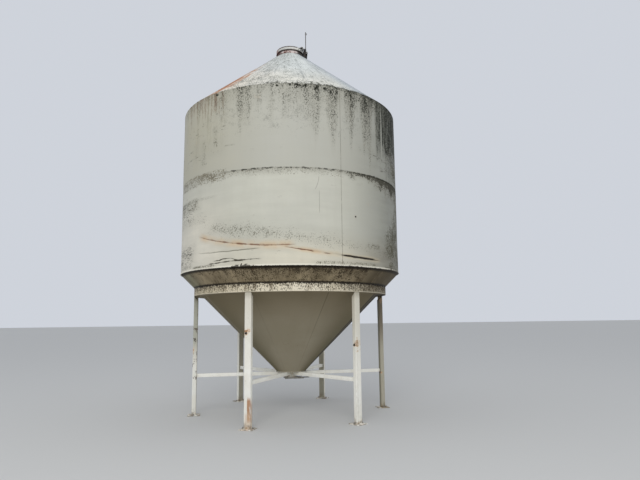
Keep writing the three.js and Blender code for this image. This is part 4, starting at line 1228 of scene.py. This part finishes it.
inner = WALL_RADIUS - PLATE
lower = turned([(inner, WALL_FOOT), (WALL_RADIUS, WALL_FOOT), (WALL_RADIUS, CREASE_ZONE), (WALL_RADIUS, MID_SEAM),
                (inner, MID_SEAM), (inner, CREASE_ZONE)], SHELL_STEPS,
               {1: FINE_ROWS, 2: WIDE_ROWS, 4: WIDE_ROWS, 5: FINE_ROWS})
hand_over("wall_lower_plate", push(lower, wall_offset), WALL_PAINT, stands_for=["wall_lower_course"])
upper = turned([(inner, MID_SEAM), (WALL_RADIUS, MID_SEAM), (WALL_RADIUS, EAVE), (inner, EAVE)],
               SHELL_STEPS, {1: UPPER_ROWS, 3: UPPER_ROWS})
hand_over("wall_upper_plate", push(upper, wall_offset), WALL_PAINT, stands_for=["wall_upper_course"])

# %% [markdown]
# ## The drip lip and the wall's welds
# The wall's foot is flared a little, so that rain drips off instead of creeping inwards. Its outline has
# a round nose. A weld is a low half-round bead: turned about the axis where it runs level, and drawn up
# the wall where two sheets meet.

# %% Turn the drip lip and lay the welds
BEAD_WIDTH = 0.010
BEAD_HEIGHT = 0.0035
BEAD_POINTS = 7
NOSE_POINTS = 5
NOSE = 0.003
LIP_GAP = 0.0003


def lip_outline():
    low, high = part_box("wall_drip_lip")
    outline = [(WALL_RADIUS + LIP_GAP, low.z)]
    for index in range(NOSE_POINTS):
        turn = math.radians(-90 + 110 * index / (NOSE_POINTS - 1))
        outline.append((high.x - NOSE + NOSE * math.cos(turn), low.z + NOSE + NOSE * math.sin(turn)))
    return outline + [(WALL_RADIUS + 0.004, low.z + 0.6 * (high.z - low.z)), (WALL_RADIUS + LIP_GAP, high.z)]


lip = turned(lip_outline(), SHELL_STEPS)
hand_over("wall_foot_lip", lip, WALL_PAINT, stands_for=["wall_drip_lip"])


def half_round(width=BEAD_WIDTH, sink=0.001):
    """The points of a weld's section, as (to the side, outwards), with its flat side sunk into the plate."""
    turns = [math.radians(-90 + 180 * index / (BEAD_POINTS - 1)) for index in range(BEAD_POINTS)]
    return [(width / 2 * math.sin(turn), BEAD_HEIGHT * math.cos(turn) - sink) for turn in turns]


def bead_outline(radius, height, out=(1.0, 0.0)):
    """The outline of a level bead on a surface that faces out."""
    along = (-out[1], out[0])
    return [(radius + along[0] * side + out[0] * stand, height + along[1] * side + out[1] * stand)
            for side, stand in half_round()]


def seam_bead(azimuth, foot, top, rows):
    """An upright bead on the wall, in rows that can follow its dents."""
    bm = bmesh.new()
    walk = [bm.faces.new([bm.verts.new(polar(azimuth, WALL_RADIUS + stand, foot, side))
                          for side, stand in half_round()])]
    for row in range(rows):
        grown = bmesh.ops.extrude_face_region(bm, geom=walk)
        fresh = [item for item in grown["geom"] if isinstance(item, bmesh.types.BMVert)]
        bmesh.ops.translate(bm, verts=fresh, vec=(0, 0, (top - foot) / rows))
        old = walk
        walk = [item for item in grown["geom"] if isinstance(item, bmesh.types.BMFace)]
        if row:
            bmesh.ops.delete(bm, geom=old, context="FACES_ONLY")
    bmesh.ops.recalc_face_normals(bm, faces=bm.faces)
    return bm


def joined(parts):
    """Several bmeshes as one."""
    whole = bmesh.new()
    for part in parts:
        mesh = bpy.data.meshes.new("part")
        part.to_mesh(mesh)
        part.free()
        whole.from_mesh(mesh)
        bpy.data.meshes.remove(mesh)
    return whole


level_bead = turned(bead_outline(WALL_RADIUS, MID_SEAM), SHELL_STEPS)
upright_beads = [seam_bead(seam, WALL_FOOT + 0.03, EAVE - 0.005, 60) for seam in SEAMS]
hand_over("wall_welds", push(joined([level_bead, *upright_beads]), wall_offset), WALL_PAINT)

# %% [markdown]
# ## The roof
# The roof is a cone of plate, stiff enough to stand alone. It was welded from a few sheets, whose radial
# seams stay faintly proud, and boots have left it slightly hollow here and there.

# %% Turn the roof cone
ROOF_SEAMS = 6
ROOF_ROWS = 40
DENT_DEPTH, HOLLOW_DEPTH, ROOF_ENDS = 0.006, 0.006, 0.08
ROOF_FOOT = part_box("roof_cone")[0].z
ROOF_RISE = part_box("roof_cone")[1].z - ROOF_FOOT
COLLAR_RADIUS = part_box("fill_collar")[1].x
COLLAR_GAP = 0.0003
ROOF_PITCH = math.atan2(ROOF_RISE, WALL_RADIUS - COLLAR_RADIUS - COLLAR_GAP)


def roof_height(radius):
    return ROOF_FOOT + (WALL_RADIUS - radius) * math.tan(ROOF_PITCH)


def roof_sag(azimuth, height):
    """The dents of the roof plate, as a move outwards."""
    share = (height - EAVE) / ROOF_RISE
    dents = shell_noise(azimuth, height, 2.2, 1.7)
    ends = min(1.0, share / ROOF_ENDS, (1 - share) / ROOF_ENDS)
    between = abs(math.sin(math.radians(azimuth - SEAM_AZIMUTH) * ROOF_SEAMS / 2))
    return (DENT_DEPTH * dents - HOLLOW_DEPTH * between * (1 - share)) * max(ends, 0.0)


hole = COLLAR_RADIUS + 0.0005
roof = turned([(WALL_RADIUS - PLATE / math.sin(ROOF_PITCH), roof_height(WALL_RADIUS)),
               (WALL_RADIUS, roof_height(WALL_RADIUS)), (hole, roof_height(hole)),
               (hole, roof_height(hole) - PLATE / math.cos(ROOF_PITCH))], SHELL_STEPS, {1: ROOF_ROWS, 3: ROOF_ROWS})
hand_over("roof_plate", push(roof, roof_sag), ROOF_PAINT, stands_for=["roof_cone"])

# %% [markdown]
# ## Collar, lid and opener
# A short tube on the peak takes the filling spout. Its lid is a pan with a rolled bead at the foot of
# its skirt. It swings on a pin beside the collar and is pulled open by a tall lever, whose eye took a
# wire. The strap, barrel, bracket and pin are softened from the model.

# %% Turn the collar and the lid, and forge the fittings
COLLAR_STEPS = 96


def arc(centre, radius, start, end, points):
    """Points along part of a circle, as (radius, height)."""
    turns = [math.radians(start + (end - start) * index / (points - 1)) for index in range(points)]
    return [(centre[0] + radius * math.cos(turn), centre[1] + radius * math.sin(turn)) for turn in turns]


def collar_outline():
    low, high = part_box("fill_collar")
    inside = high.x - PLATE
    return [(inside, low.z), (high.x, low.z), (high.x, high.z - 0.001), (high.x - 0.001, high.z),
            (inside + 0.001, high.z), (inside, high.z - 0.001)]


def lid_outline():
    skirt, shoulder, bead = LID_REACH - 0.004, 0.010, 0.005
    outer = arc((skirt - shoulder, LID_TOP - shoulder), shoulder, 90, 0, 5)
    rolled = arc((LID_REACH - bead, LID_FOOT + bead), bead, 90, -90, 6)
    return [(0.0, LID_TOP), *outer, *rolled, (skirt - PLATE, LID_FOOT), (skirt - PLATE, LID_TOP - PLATE - 0.006),
            (skirt - PLATE - 0.006, LID_TOP - PLATE), (0.0, LID_TOP - PLATE)]


tube = turned(collar_outline(), COLLAR_STEPS)
hand_over("collar_tube", tube, COLLAR_PAINT, stands_for=["fill_collar"])
hand_over("lid_pan", turned(lid_outline(), COLLAR_STEPS), LID_PAINT, "lid", ["lid_cap"])
for node, body, width in (("lid_strap", "lid", 0.0015), ("lid_hinge_barrel", "lid", 0.001),
                          ("lid_hinge_bracket", "silo", 0.001), ("lid_hinge_pin", "silo", 0.0015)):
    hand_over_node(node, width, DARK_STEEL_AND_SHADE, body, "_forged")

# %% [markdown]
# The lever is a round bar with an eye at its tip. The bar is a cylinder with its ends bevelled. The eye
# is a small circle turned about the sideways axis, and it stays inside the lug of the model.

# %% Make the lever and its eye
HINGE_AZIMUTH = 60.0
PIN_SPOT = Vector(frame["joints"][0]["pos_m"])
HINGE_RADIUS = math.hypot(PIN_SPOT.x, PIN_SPOT.y)
LEVER_BAR = 0.008
EYE_WIRE = 0.0045
LEVER_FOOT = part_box("lid_opener_lever")[0].z
LEVER_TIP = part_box("lid_opener_lever")[1].z
EYE_DROP = 0.048
EYE_RADIUS = 0.022 - EYE_WIRE


def rod(start, end, radius, sides=16, bevel=0.0):
    """A round bar from one point to another."""
    span = Vector(end) - Vector(start)
    bm = bmesh.new()
    bmesh.ops.create_cone(bm, cap_ends=True, segments=sides, radius1=radius, radius2=radius, depth=span.length)
    if bevel:
        rims = [edge for edge in bm.edges if edge.calc_face_angle() > CORNER_ANGLE]
        bmesh.ops.bevel(bm, geom=rims, offset=bevel, **ROUNDING)
    turn = span.to_track_quat("Z", "Y").to_matrix().to_4x4()
    middle = (Vector(start) + Vector(end)) / 2
    bmesh.ops.transform(bm, matrix=Matrix.Translation(middle) @ turn, verts=bm.verts)
    return bm


def wire_section(centre, axis, radius, wire, sides):
    """A wire's round section, standing beside an axis at a radius from it."""
    bm = bmesh.new()
    bmesh.ops.create_circle(bm, segments=sides, radius=wire)
    side = axis.cross(Vector((0, 0, 1))).normalized()
    stand = Matrix((side, axis, side.cross(axis))).transposed().to_4x4()
    bmesh.ops.transform(bm, matrix=Matrix.Translation(Vector(centre) + side * radius) @ stand, verts=bm.verts)
    return bm


def ring_eye(centre, axis, radius, wire):
    """A round wire ring about an axis."""
    axis = Vector(axis).normalized()
    bm = wire_section(centre, axis, radius, wire, 12)
    bmesh.ops.spin(bm, geom=bm.verts[:] + bm.edges[:], cent=centre, axis=axis, angle=FULL_TURN, steps=28,
                   use_merge=True)
    bmesh.ops.remove_doubles(bm, verts=bm.verts, dist=MERGE)
    bmesh.ops.recalc_face_normals(bm, faces=bm.faces)
    return bm


pin_axis = polar(HINGE_AZIMUTH, 0, 0, 1.0)
bar = rod(polar(HINGE_AZIMUTH, HINGE_RADIUS, LEVER_FOOT), polar(HINGE_AZIMUTH, HINGE_RADIUS, LEVER_TIP),
          LEVER_BAR, bevel=0.0015)
eye = ring_eye(polar(HINGE_AZIMUTH, HINGE_RADIUS + LEVER_BAR, LEVER_TIP - EYE_DROP), pin_axis, EYE_RADIUS, EYE_WIRE)
hand_over("opener_lever_and_eye", joined([bar, eye]), LEVER_STEEL, "lid", ["lid_opener_lever"])

# %% [markdown]
# Springs keep the lid shut. Each is a small circle swept round the pin and along it in one spin. A spin
# with a shift leaves two open ends, which are filled. One short coil sits on either side of the strap.

# %% Wind the lid's springs
COIL_RADIUS = 0.020
COIL_WIRE = 0.0032
COIL_TURNS = 2
TURN_STEPS = 20
COIL_START, COIL_LENGTH = 0.025, 0.0145


def coil_spring(start, axis, radius, wire, turns, length):
    """Round wire wound about an axis, with closed ends. The spin's shift is counted per step."""
    axis = Vector(axis).normalized()
    bm = wire_section(start, axis, radius, wire, 10)
    steps = turns * TURN_STEPS
    bmesh.ops.spin(bm, geom=bm.verts[:] + bm.edges[:], cent=start, axis=axis, dvec=axis * length / steps,
                   angle=FULL_TURN * turns, steps=steps)
    bmesh.ops.holes_fill(bm, edges=[edge for edge in bm.edges if edge.is_boundary])
    bmesh.ops.recalc_face_normals(bm, faces=bm.faces)
    return bm


coils = [coil_spring(PIN_SPOT + way * COIL_START * pin_axis, way * pin_axis, COIL_RADIUS, COIL_WIRE,
                     COIL_TURNS, COIL_LENGTH) for way in (-1, 1)]
hand_over("lid_springs", joined(coils), ZINC_AND_HIGHLIGHT, "lid")
reach, room = COIL_RADIUS + COIL_WIRE, PIN_SPOT.z - roof_height(HINGE_RADIUS)
print(f"The coils reach {1000 * reach:.0f} mm from the pin, and the roof is {1000 * room:.0f} mm below it")

# %% [markdown]
# A longer spring lies along the lid's rim, above the bracket. It is hooked to a peg on the skirt and to the
# lever's foot, and rides on the lid with both, so nothing stretches when the lid swings open.

# %% Hook the rim spring to its peg
RIM_LINE = 0.312
RIM_LEVEL = LID_TOP + 0.004
RIM_START, RIM_LENGTH, RIM_TURNS = 0.052, 0.050, 5
RIM_COIL, RIM_WIRE = 0.018, 0.0045
PEG_SIDE, PEG_RADIUS = 0.120, 0.015
PEG_LEVEL = LID_TOP - 0.020
PEG_ROOT, PEG_TIP = 0.255, 0.336
WASHER_START, WASHER_END, WASHER_RADIUS = 0.296, 0.302, 0.024


def by_hinge(reach, height, side):
    """A point by how far it lies out, how high, and how far to the left of the hinge's middle."""
    return polar(HINGE_AZIMUTH, reach, height, -side)


peg = rod(by_hinge(PEG_ROOT, PEG_LEVEL, PEG_SIDE), by_hinge(PEG_TIP, PEG_LEVEL, PEG_SIDE), PEG_RADIUS, 20, 0.003)
washer = rod(by_hinge(WASHER_START, PEG_LEVEL, PEG_SIDE), by_hinge(WASHER_END, PEG_LEVEL, PEG_SIDE),
             WASHER_RADIUS, 24, 0.001)
hand_over("lid_spring_peg", joined([peg, washer]), DARK_STEEL_AND_SHADE, "lid")
wound = coil_spring(by_hinge(RIM_LINE, RIM_LEVEL, RIM_START), -pin_axis, RIM_COIL, RIM_WIRE, RIM_TURNS, RIM_LENGTH)
to_peg = rod(by_hinge(RIM_LINE, RIM_LEVEL - RIM_COIL, RIM_START + RIM_LENGTH),
             by_hinge(RIM_LINE + 0.006, PEG_LEVEL, PEG_SIDE), RIM_WIRE, 10)
to_lever = rod(by_hinge(RIM_LINE, RIM_LEVEL + RIM_COIL, RIM_START),
               by_hinge(HINGE_RADIUS - 0.006, RIM_LEVEL + 0.022, 0.002), RIM_WIRE, 10)
hand_over("lid_rim_spring", joined([wound, to_peg, to_lever]), ZINC_AND_HIGHLIGHT, "lid")
print("The rim spring lies", round(1000 * (RIM_LEVEL - RIM_COIL - PIN_SPOT.z)), "mm above the pin")

# %% [markdown]
# ## The hopper
# The hopper is a steep cone of eight sheets. Each sheet laps a little over the next, which shows as a
# thin dark line down the slope. The lap is a step in the radius of a little more than a plate's thickness,
# taken over about a degree and a half, so the ring stays one closed mesh.

# %% Turn the hopper with its laps
HOPPER_FOOT, HOPPER_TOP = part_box("hopper_cone")[0].z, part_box("hopper_cone")[1].z
HOPPER_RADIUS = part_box("hopper_cone")[1].x
HOPPER_FOOT_RADIUS = 0.280
HOPPER_SLOPE = (HOPPER_TOP - HOPPER_FOOT) / (HOPPER_RADIUS - HOPPER_FOOT_RADIUS)
HOPPER_STEPS = 480
HOPPER_ROWS = 34
SHEET_DROP, LAP_STEP, BUCKLE = 0.005, 0.0045, 0.003
LAP_SHARE = 0.03


def hopper_radius(height):
    return HOPPER_FOOT_RADIUS + (height - HOPPER_FOOT) / HOPPER_SLOPE


def lap_offset(azimuth, height):
    """The sheets' laps, largest halfway down and nothing at the ring, the outlet and above the ring."""
    share = ((azimuth - HOPPER_LAP) / (360 / HOPPER_SHEETS)) % 1.0
    step = min(share / LAP_SHARE, 1.0) * (1 - share)
    middle = fade(height, HOPPER_FOOT + 0.08, RING_FOOT - 0.08, 0.06)
    return (-SHEET_DROP + LAP_STEP * step + BUCKLE * shell_noise(azimuth, height, 2.5, 1.3)) * middle


across = PLATE / math.sin(math.atan(HOPPER_SLOPE))
hopper = turned([(HOPPER_FOOT_RADIUS - across, HOPPER_FOOT), (HOPPER_FOOT_RADIUS, HOPPER_FOOT),
                 (HOPPER_RADIUS, HOPPER_TOP), (HOPPER_RADIUS - across, HOPPER_TOP)], HOPPER_STEPS,
                {1: HOPPER_ROWS, 3: HOPPER_ROWS})
hand_over("hopper_plate", push(hopper, lap_offset), HOPPER_PAINT, stands_for=["hopper_cone"])

# %% [markdown]
# ## The support ring
# A band of plate and a flat soffit make the ring that sits on the legs. Both are turned with softened
# edges. The band is rolled from six lengths, and each butt joint carries a short upright weld.

# %% Turn the ring
RING_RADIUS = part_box("support_ring_band")[1].x
RING_JOINT = -2.0
RING_JOINTS = 6
RING_PLATE = 0.006
SOFFIT_GAP = 0.0006


def rounded_box(inside, outside, foot, top, soft):
    """A ring's section with all four corners cut."""
    return [(inside + soft, foot), (outside - soft, foot), (outside, foot + soft), (outside, top - soft),
            (outside - soft, top), (inside + soft, top), (inside, top - soft), (inside, foot + soft)]


band_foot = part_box("support_ring_band")[0].z
band = turned(rounded_box(RING_RADIUS - RING_PLATE, RING_RADIUS, band_foot, RING_TOP, 0.001), SHELL_STEPS, {2: 6})
hand_over("ring_band_plate", band, RING_PAINT, stands_for=["support_ring_band"])
soffit_low, soffit_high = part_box("support_ring_soffit")
soffit = turned([(hopper_radius(soffit_low.z) + SOFFIT_GAP, soffit_low.z), (RING_RADIUS - 0.001, soffit_low.z),
                 (RING_RADIUS, soffit_low.z + 0.001), (RING_RADIUS, soffit_high.z - 0.001),
                 (RING_RADIUS - 0.001, soffit_high.z),
                 (hopper_radius(soffit_high.z) + SOFFIT_GAP, soffit_high.z)], SHELL_STEPS)
hand_over("ring_soffit_plate", soffit, HOPPER_PAINT, stands_for=["support_ring_soffit"])


def short_bead(start, end, out, width=BEAD_WIDTH):
    """A half-round weld bead along a straight line, standing towards out."""
    start, end, out = Vector(start), Vector(end), Vector(out).normalized()
    along = end - start
    side = along.cross(out).normalized()
    bm = bmesh.new()
    face = bm.faces.new([bm.verts.new(start + side * aside + out * lift)
                         for aside, lift in half_round(width, 0.0008)])
    grown = bmesh.ops.extrude_face_region(bm, geom=[face])
    fresh = [item for item in grown["geom"] if isinstance(item, bmesh.types.BMVert)]
    bmesh.ops.translate(bm, verts=fresh, vec=along)
    bmesh.ops.recalc_face_normals(bm, faces=bm.faces)
    return bm


ring_welds = []
for index in range(RING_JOINTS):
    azimuth = RING_JOINT + index * 360 / RING_JOINTS
    out = polar(azimuth, 1.0, 0.0)
    ring_welds.append(short_bead(polar(azimuth, RING_RADIUS, RING_FOOT + 0.004),
                                 polar(azimuth, RING_RADIUS, RING_TOP - 0.004), out, 0.014))
ring_corner = (math.sin(math.radians(45)), math.cos(math.radians(45)))
ring_corner_bead = bead_outline(hopper_radius(RING_TOP) + 0.002, RING_TOP + 0.001, ring_corner)
ring_welds.append(turned(ring_corner_bead, SHELL_STEPS))
hand_over("ring_welds", joined(ring_welds), RING_PAINT)

# %% [markdown]
# ## Legs, feet, gussets and ties
# These are plain structural tubes and plates, already right in the model, so they are only softened.
# Each keeps its own object, because each carries its own dirt and could be swapped for a new one.

# %% Soften the steelwork that carries the silo
for index in range(1, LEGS + 1):
    for part, width in (("leg", 0.0012), ("leg_foot_plate", 0.0015), ("leg_top_gusset", 0.0012), ("leg_tie", 0.004)):
        hand_over_node(f"{part}_{index}", width, LEG_PAINT)

# %% [markdown]
# ## Bolts and leg welds
# Anchor bolts hold each foot plate, one on either side of the leg. A bolt is a washer, a hexagon nut and
# a stub of thread, all short cylinders with the right number of sides. Beads of weld run round the foot
# of each leg and where each tie meets it. A few odd bolts sit in the legs, in the wall and on the lid.

# %% Fit the bolts and run the welds
FOOT_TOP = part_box("leg_foot_plate_1")[1].z
FOOT_WELD = FOOT_TOP + 0.001
ANCHOR_SIDE = 0.088
ANCHOR_NUT, ODD_NUT, WALL_NUT, SKIRT_NUT = 0.024, 0.022, 0.015, 0.030


def hex_bolt(spot, out, size):
    """A washer, nut and thread end at a spot, pointing out. size is the nut's width across flats."""
    spot, out = Vector(spot), Vector(out).normalized()
    washer = rod(spot, spot + out * 0.12 * size, 0.95 * size, 24, 0.04 * size)
    nut = rod(spot + out * 0.12 * size, spot + out * 0.72 * size, 0.577 * size, 6, 0.05 * size)
    thread = rod(spot + out * 0.72 * size, spot + out * 1.0 * size, 0.32 * size, 16, 0.05 * size)
    return [washer, nut, thread]


anchors, leg_beads = [], []
for index in range(LEGS):
    azimuth = FIRST_LEG + index * LEG_STEP
    for side in (-1, 1):
        anchors += hex_bolt(polar(azimuth, LEG_MIDDLE, FOOT_TOP, side * ANCHOR_SIDE), (0, 0, 1), ANCHOR_NUT)
        leg_beads.append(short_bead(polar(azimuth, LEG_INNER, FOOT_WELD, side * LEG_HALF_WIDTH),
                                    polar(azimuth, LEG_FACE, FOOT_WELD, side * LEG_HALF_WIDTH),
                                    polar(azimuth, 0, 1.0, side * 1.0)))
    for radius, way in ((LEG_INNER, -1), (LEG_FACE, 1)):
        leg_beads.append(short_bead(polar(azimuth, radius, FOOT_WELD, -LEG_HALF_WIDTH),
                                    polar(azimuth, radius, FOOT_WELD, LEG_HALF_WIDTH),
                                    polar(azimuth, way, 1.0)))
    for level, way in zip((corner.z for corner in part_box("leg_tie_1")), (-1.0, 1.0)):
        leg_beads.append(short_bead(polar(azimuth, LEG_INNER, level, -0.026), polar(azimuth, LEG_INNER, level, 0.026),
                                    polar(azimuth, -1.0, way)))
hand_over("foot_anchor_bolts", joined(anchors), WORN_STEEL)
hand_over("leg_welds", joined(leg_beads), LEG_PAINT)

odd_bolts = [part for spot, out in zip(BOLT_SPOTS, BOLT_WAYS) for part in hex_bolt(spot, out, ODD_NUT)]
wall_spot = polar(WALL_BOLT.azimuth, WALL_RADIUS - 0.001, WALL_BOLT.height)
odd_bolts += hex_bolt(wall_spot, polar(WALL_BOLT.azimuth, 1, 0), WALL_NUT)
hand_over("rusty_bolts", joined(odd_bolts), DARK_STEEL_AND_SHADE)

skirt_bolts = []
for azimuth in (27, 36):
    skirt_bolts += hex_bolt(polar(azimuth, LID_REACH - 0.005, LID_TOP - 0.040), polar(azimuth, 1, 0), SKIRT_NUT)
hand_over("lid_skirt_bolts", joined(skirt_bolts), ZINC_AND_HIGHLIGHT, "lid")

# %% [markdown]
# ## Outlet and slide gate
# Under the hopper a short collar ends in a square flange. Two angles hang from it and carry the gate
# plate, which slides out to the right on a bow handle. The collar is turned, and the rest is softened.

# %% Finish the outlet
floor_low, floor_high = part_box("hopper_floor")
outlet_low, outlet_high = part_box("outlet_collar")
OUTLET_RADIUS = outlet_high.x
outlet_hole = OUTLET_RADIUS - 0.004
floor_plate = turned(rounded_box(outlet_hole, floor_high.x, floor_low.z, floor_high.z, 0.001), COLLAR_STEPS)
hand_over("hopper_floor_plate", floor_plate, HOPPER_PAINT, stands_for=["hopper_floor"])
collar = turned(rounded_box(outlet_hole, OUTLET_RADIUS, outlet_low.z, outlet_high.z, 0.0008), COLLAR_STEPS)
hand_over("outlet_tube", collar, OUTLET_PAINT, stands_for=["outlet_collar"])
for node in ("outlet_flange", "gate_rail_front", "gate_rail_back", "gate_stop"):
    hand_over_node(node, 0.001, WORN_STEEL)
hand_over_node("slide_gate", 0.001, WORN_STEEL, "gate")
hand_over_node("slide_gate_handle", 0.003, DARK_STEEL_AND_SHADE, "gate")
OUT_AND_DOWN, OUT_AND_UP = (0.71, -0.71), (0.71, 0.71)
outlet_weld = turned(bead_outline(OUTLET_RADIUS + 0.001, outlet_high.z, OUT_AND_DOWN), COLLAR_STEPS)
floor_weld = turned(bead_outline(HOPPER_FOOT_RADIUS + 0.002, floor_high.z, OUT_AND_UP), COLLAR_STEPS)
hand_over("outlet_welds", joined([outlet_weld, floor_weld]), OUTLET_PAINT)

# %% [markdown]
# ## A plain studio
# The floor is pale and matt, and the sky is an even light grey, as on a dull day. One large soft lamp, in
# front and a little to the left, gives the round wall its shading.

# %% Lay the floor and hang the lights
FLOOR_SIZE = 600.0
SKY_STRENGTH = 0.74
LAMP_PLACE, LAMP_TARGET = (-4.5, -19.0, 14.0), (0, 0, 4.0)
LAMP_SIZE, LAMP_POWER = 12.0, 1700

floor_mesh = bmesh.new()
bmesh.ops.create_grid(floor_mesh, x_segments=1, y_segments=1, size=FLOOR_SIZE / 2)
floor_data = bpy.data.meshes.new("floor")
floor_mesh.to_mesh(floor_data)
floor_mesh.free()
floor = bpy.data.objects.new("floor", floor_data)
floor_paint = bpy.data.materials.new("pale floor")
floor_paint.use_nodes = True
floor_shader = floor_paint.node_tree.nodes["Principled BSDF"]
floor_shader.inputs["Base Color"].default_value = tint(205, 204, 200)
floor_shader.inputs["Roughness"].default_value = 0.9
floor_data.materials.append(floor_paint)
scene.collection.objects.link(floor)

sky = bpy.data.worlds.new("even sky")
sky.use_nodes = True
sky_shader = sky.node_tree.nodes["Background"]
sky_shader.inputs["Color"].default_value = tint(236, 241, 250)
sky_shader.inputs["Strength"].default_value = SKY_STRENGTH
scene.world = sky
scene.view_settings.view_transform = "Standard"


def soft_lamp(name, place, target, size, power):
    lamp = bpy.data.lights.new(name, "AREA")
    lamp.shape = "DISK"
    lamp.size = size
    lamp.energy = power
    stand = bpy.data.objects.new(name, lamp)
    stand.visible_camera = False
    facing = (Vector(target) - Vector(place)).to_track_quat("-Z", "Y").to_matrix().to_4x4()
    stand.matrix_world = Matrix.Translation(place) @ facing
    scene.collection.objects.link(stand)


soft_lamp("front lamp", LAMP_PLACE, LAMP_TARGET, LAMP_SIZE, LAMP_POWER)
print("One lamp and an even sky light the floor of", FLOOR_SIZE, "m")
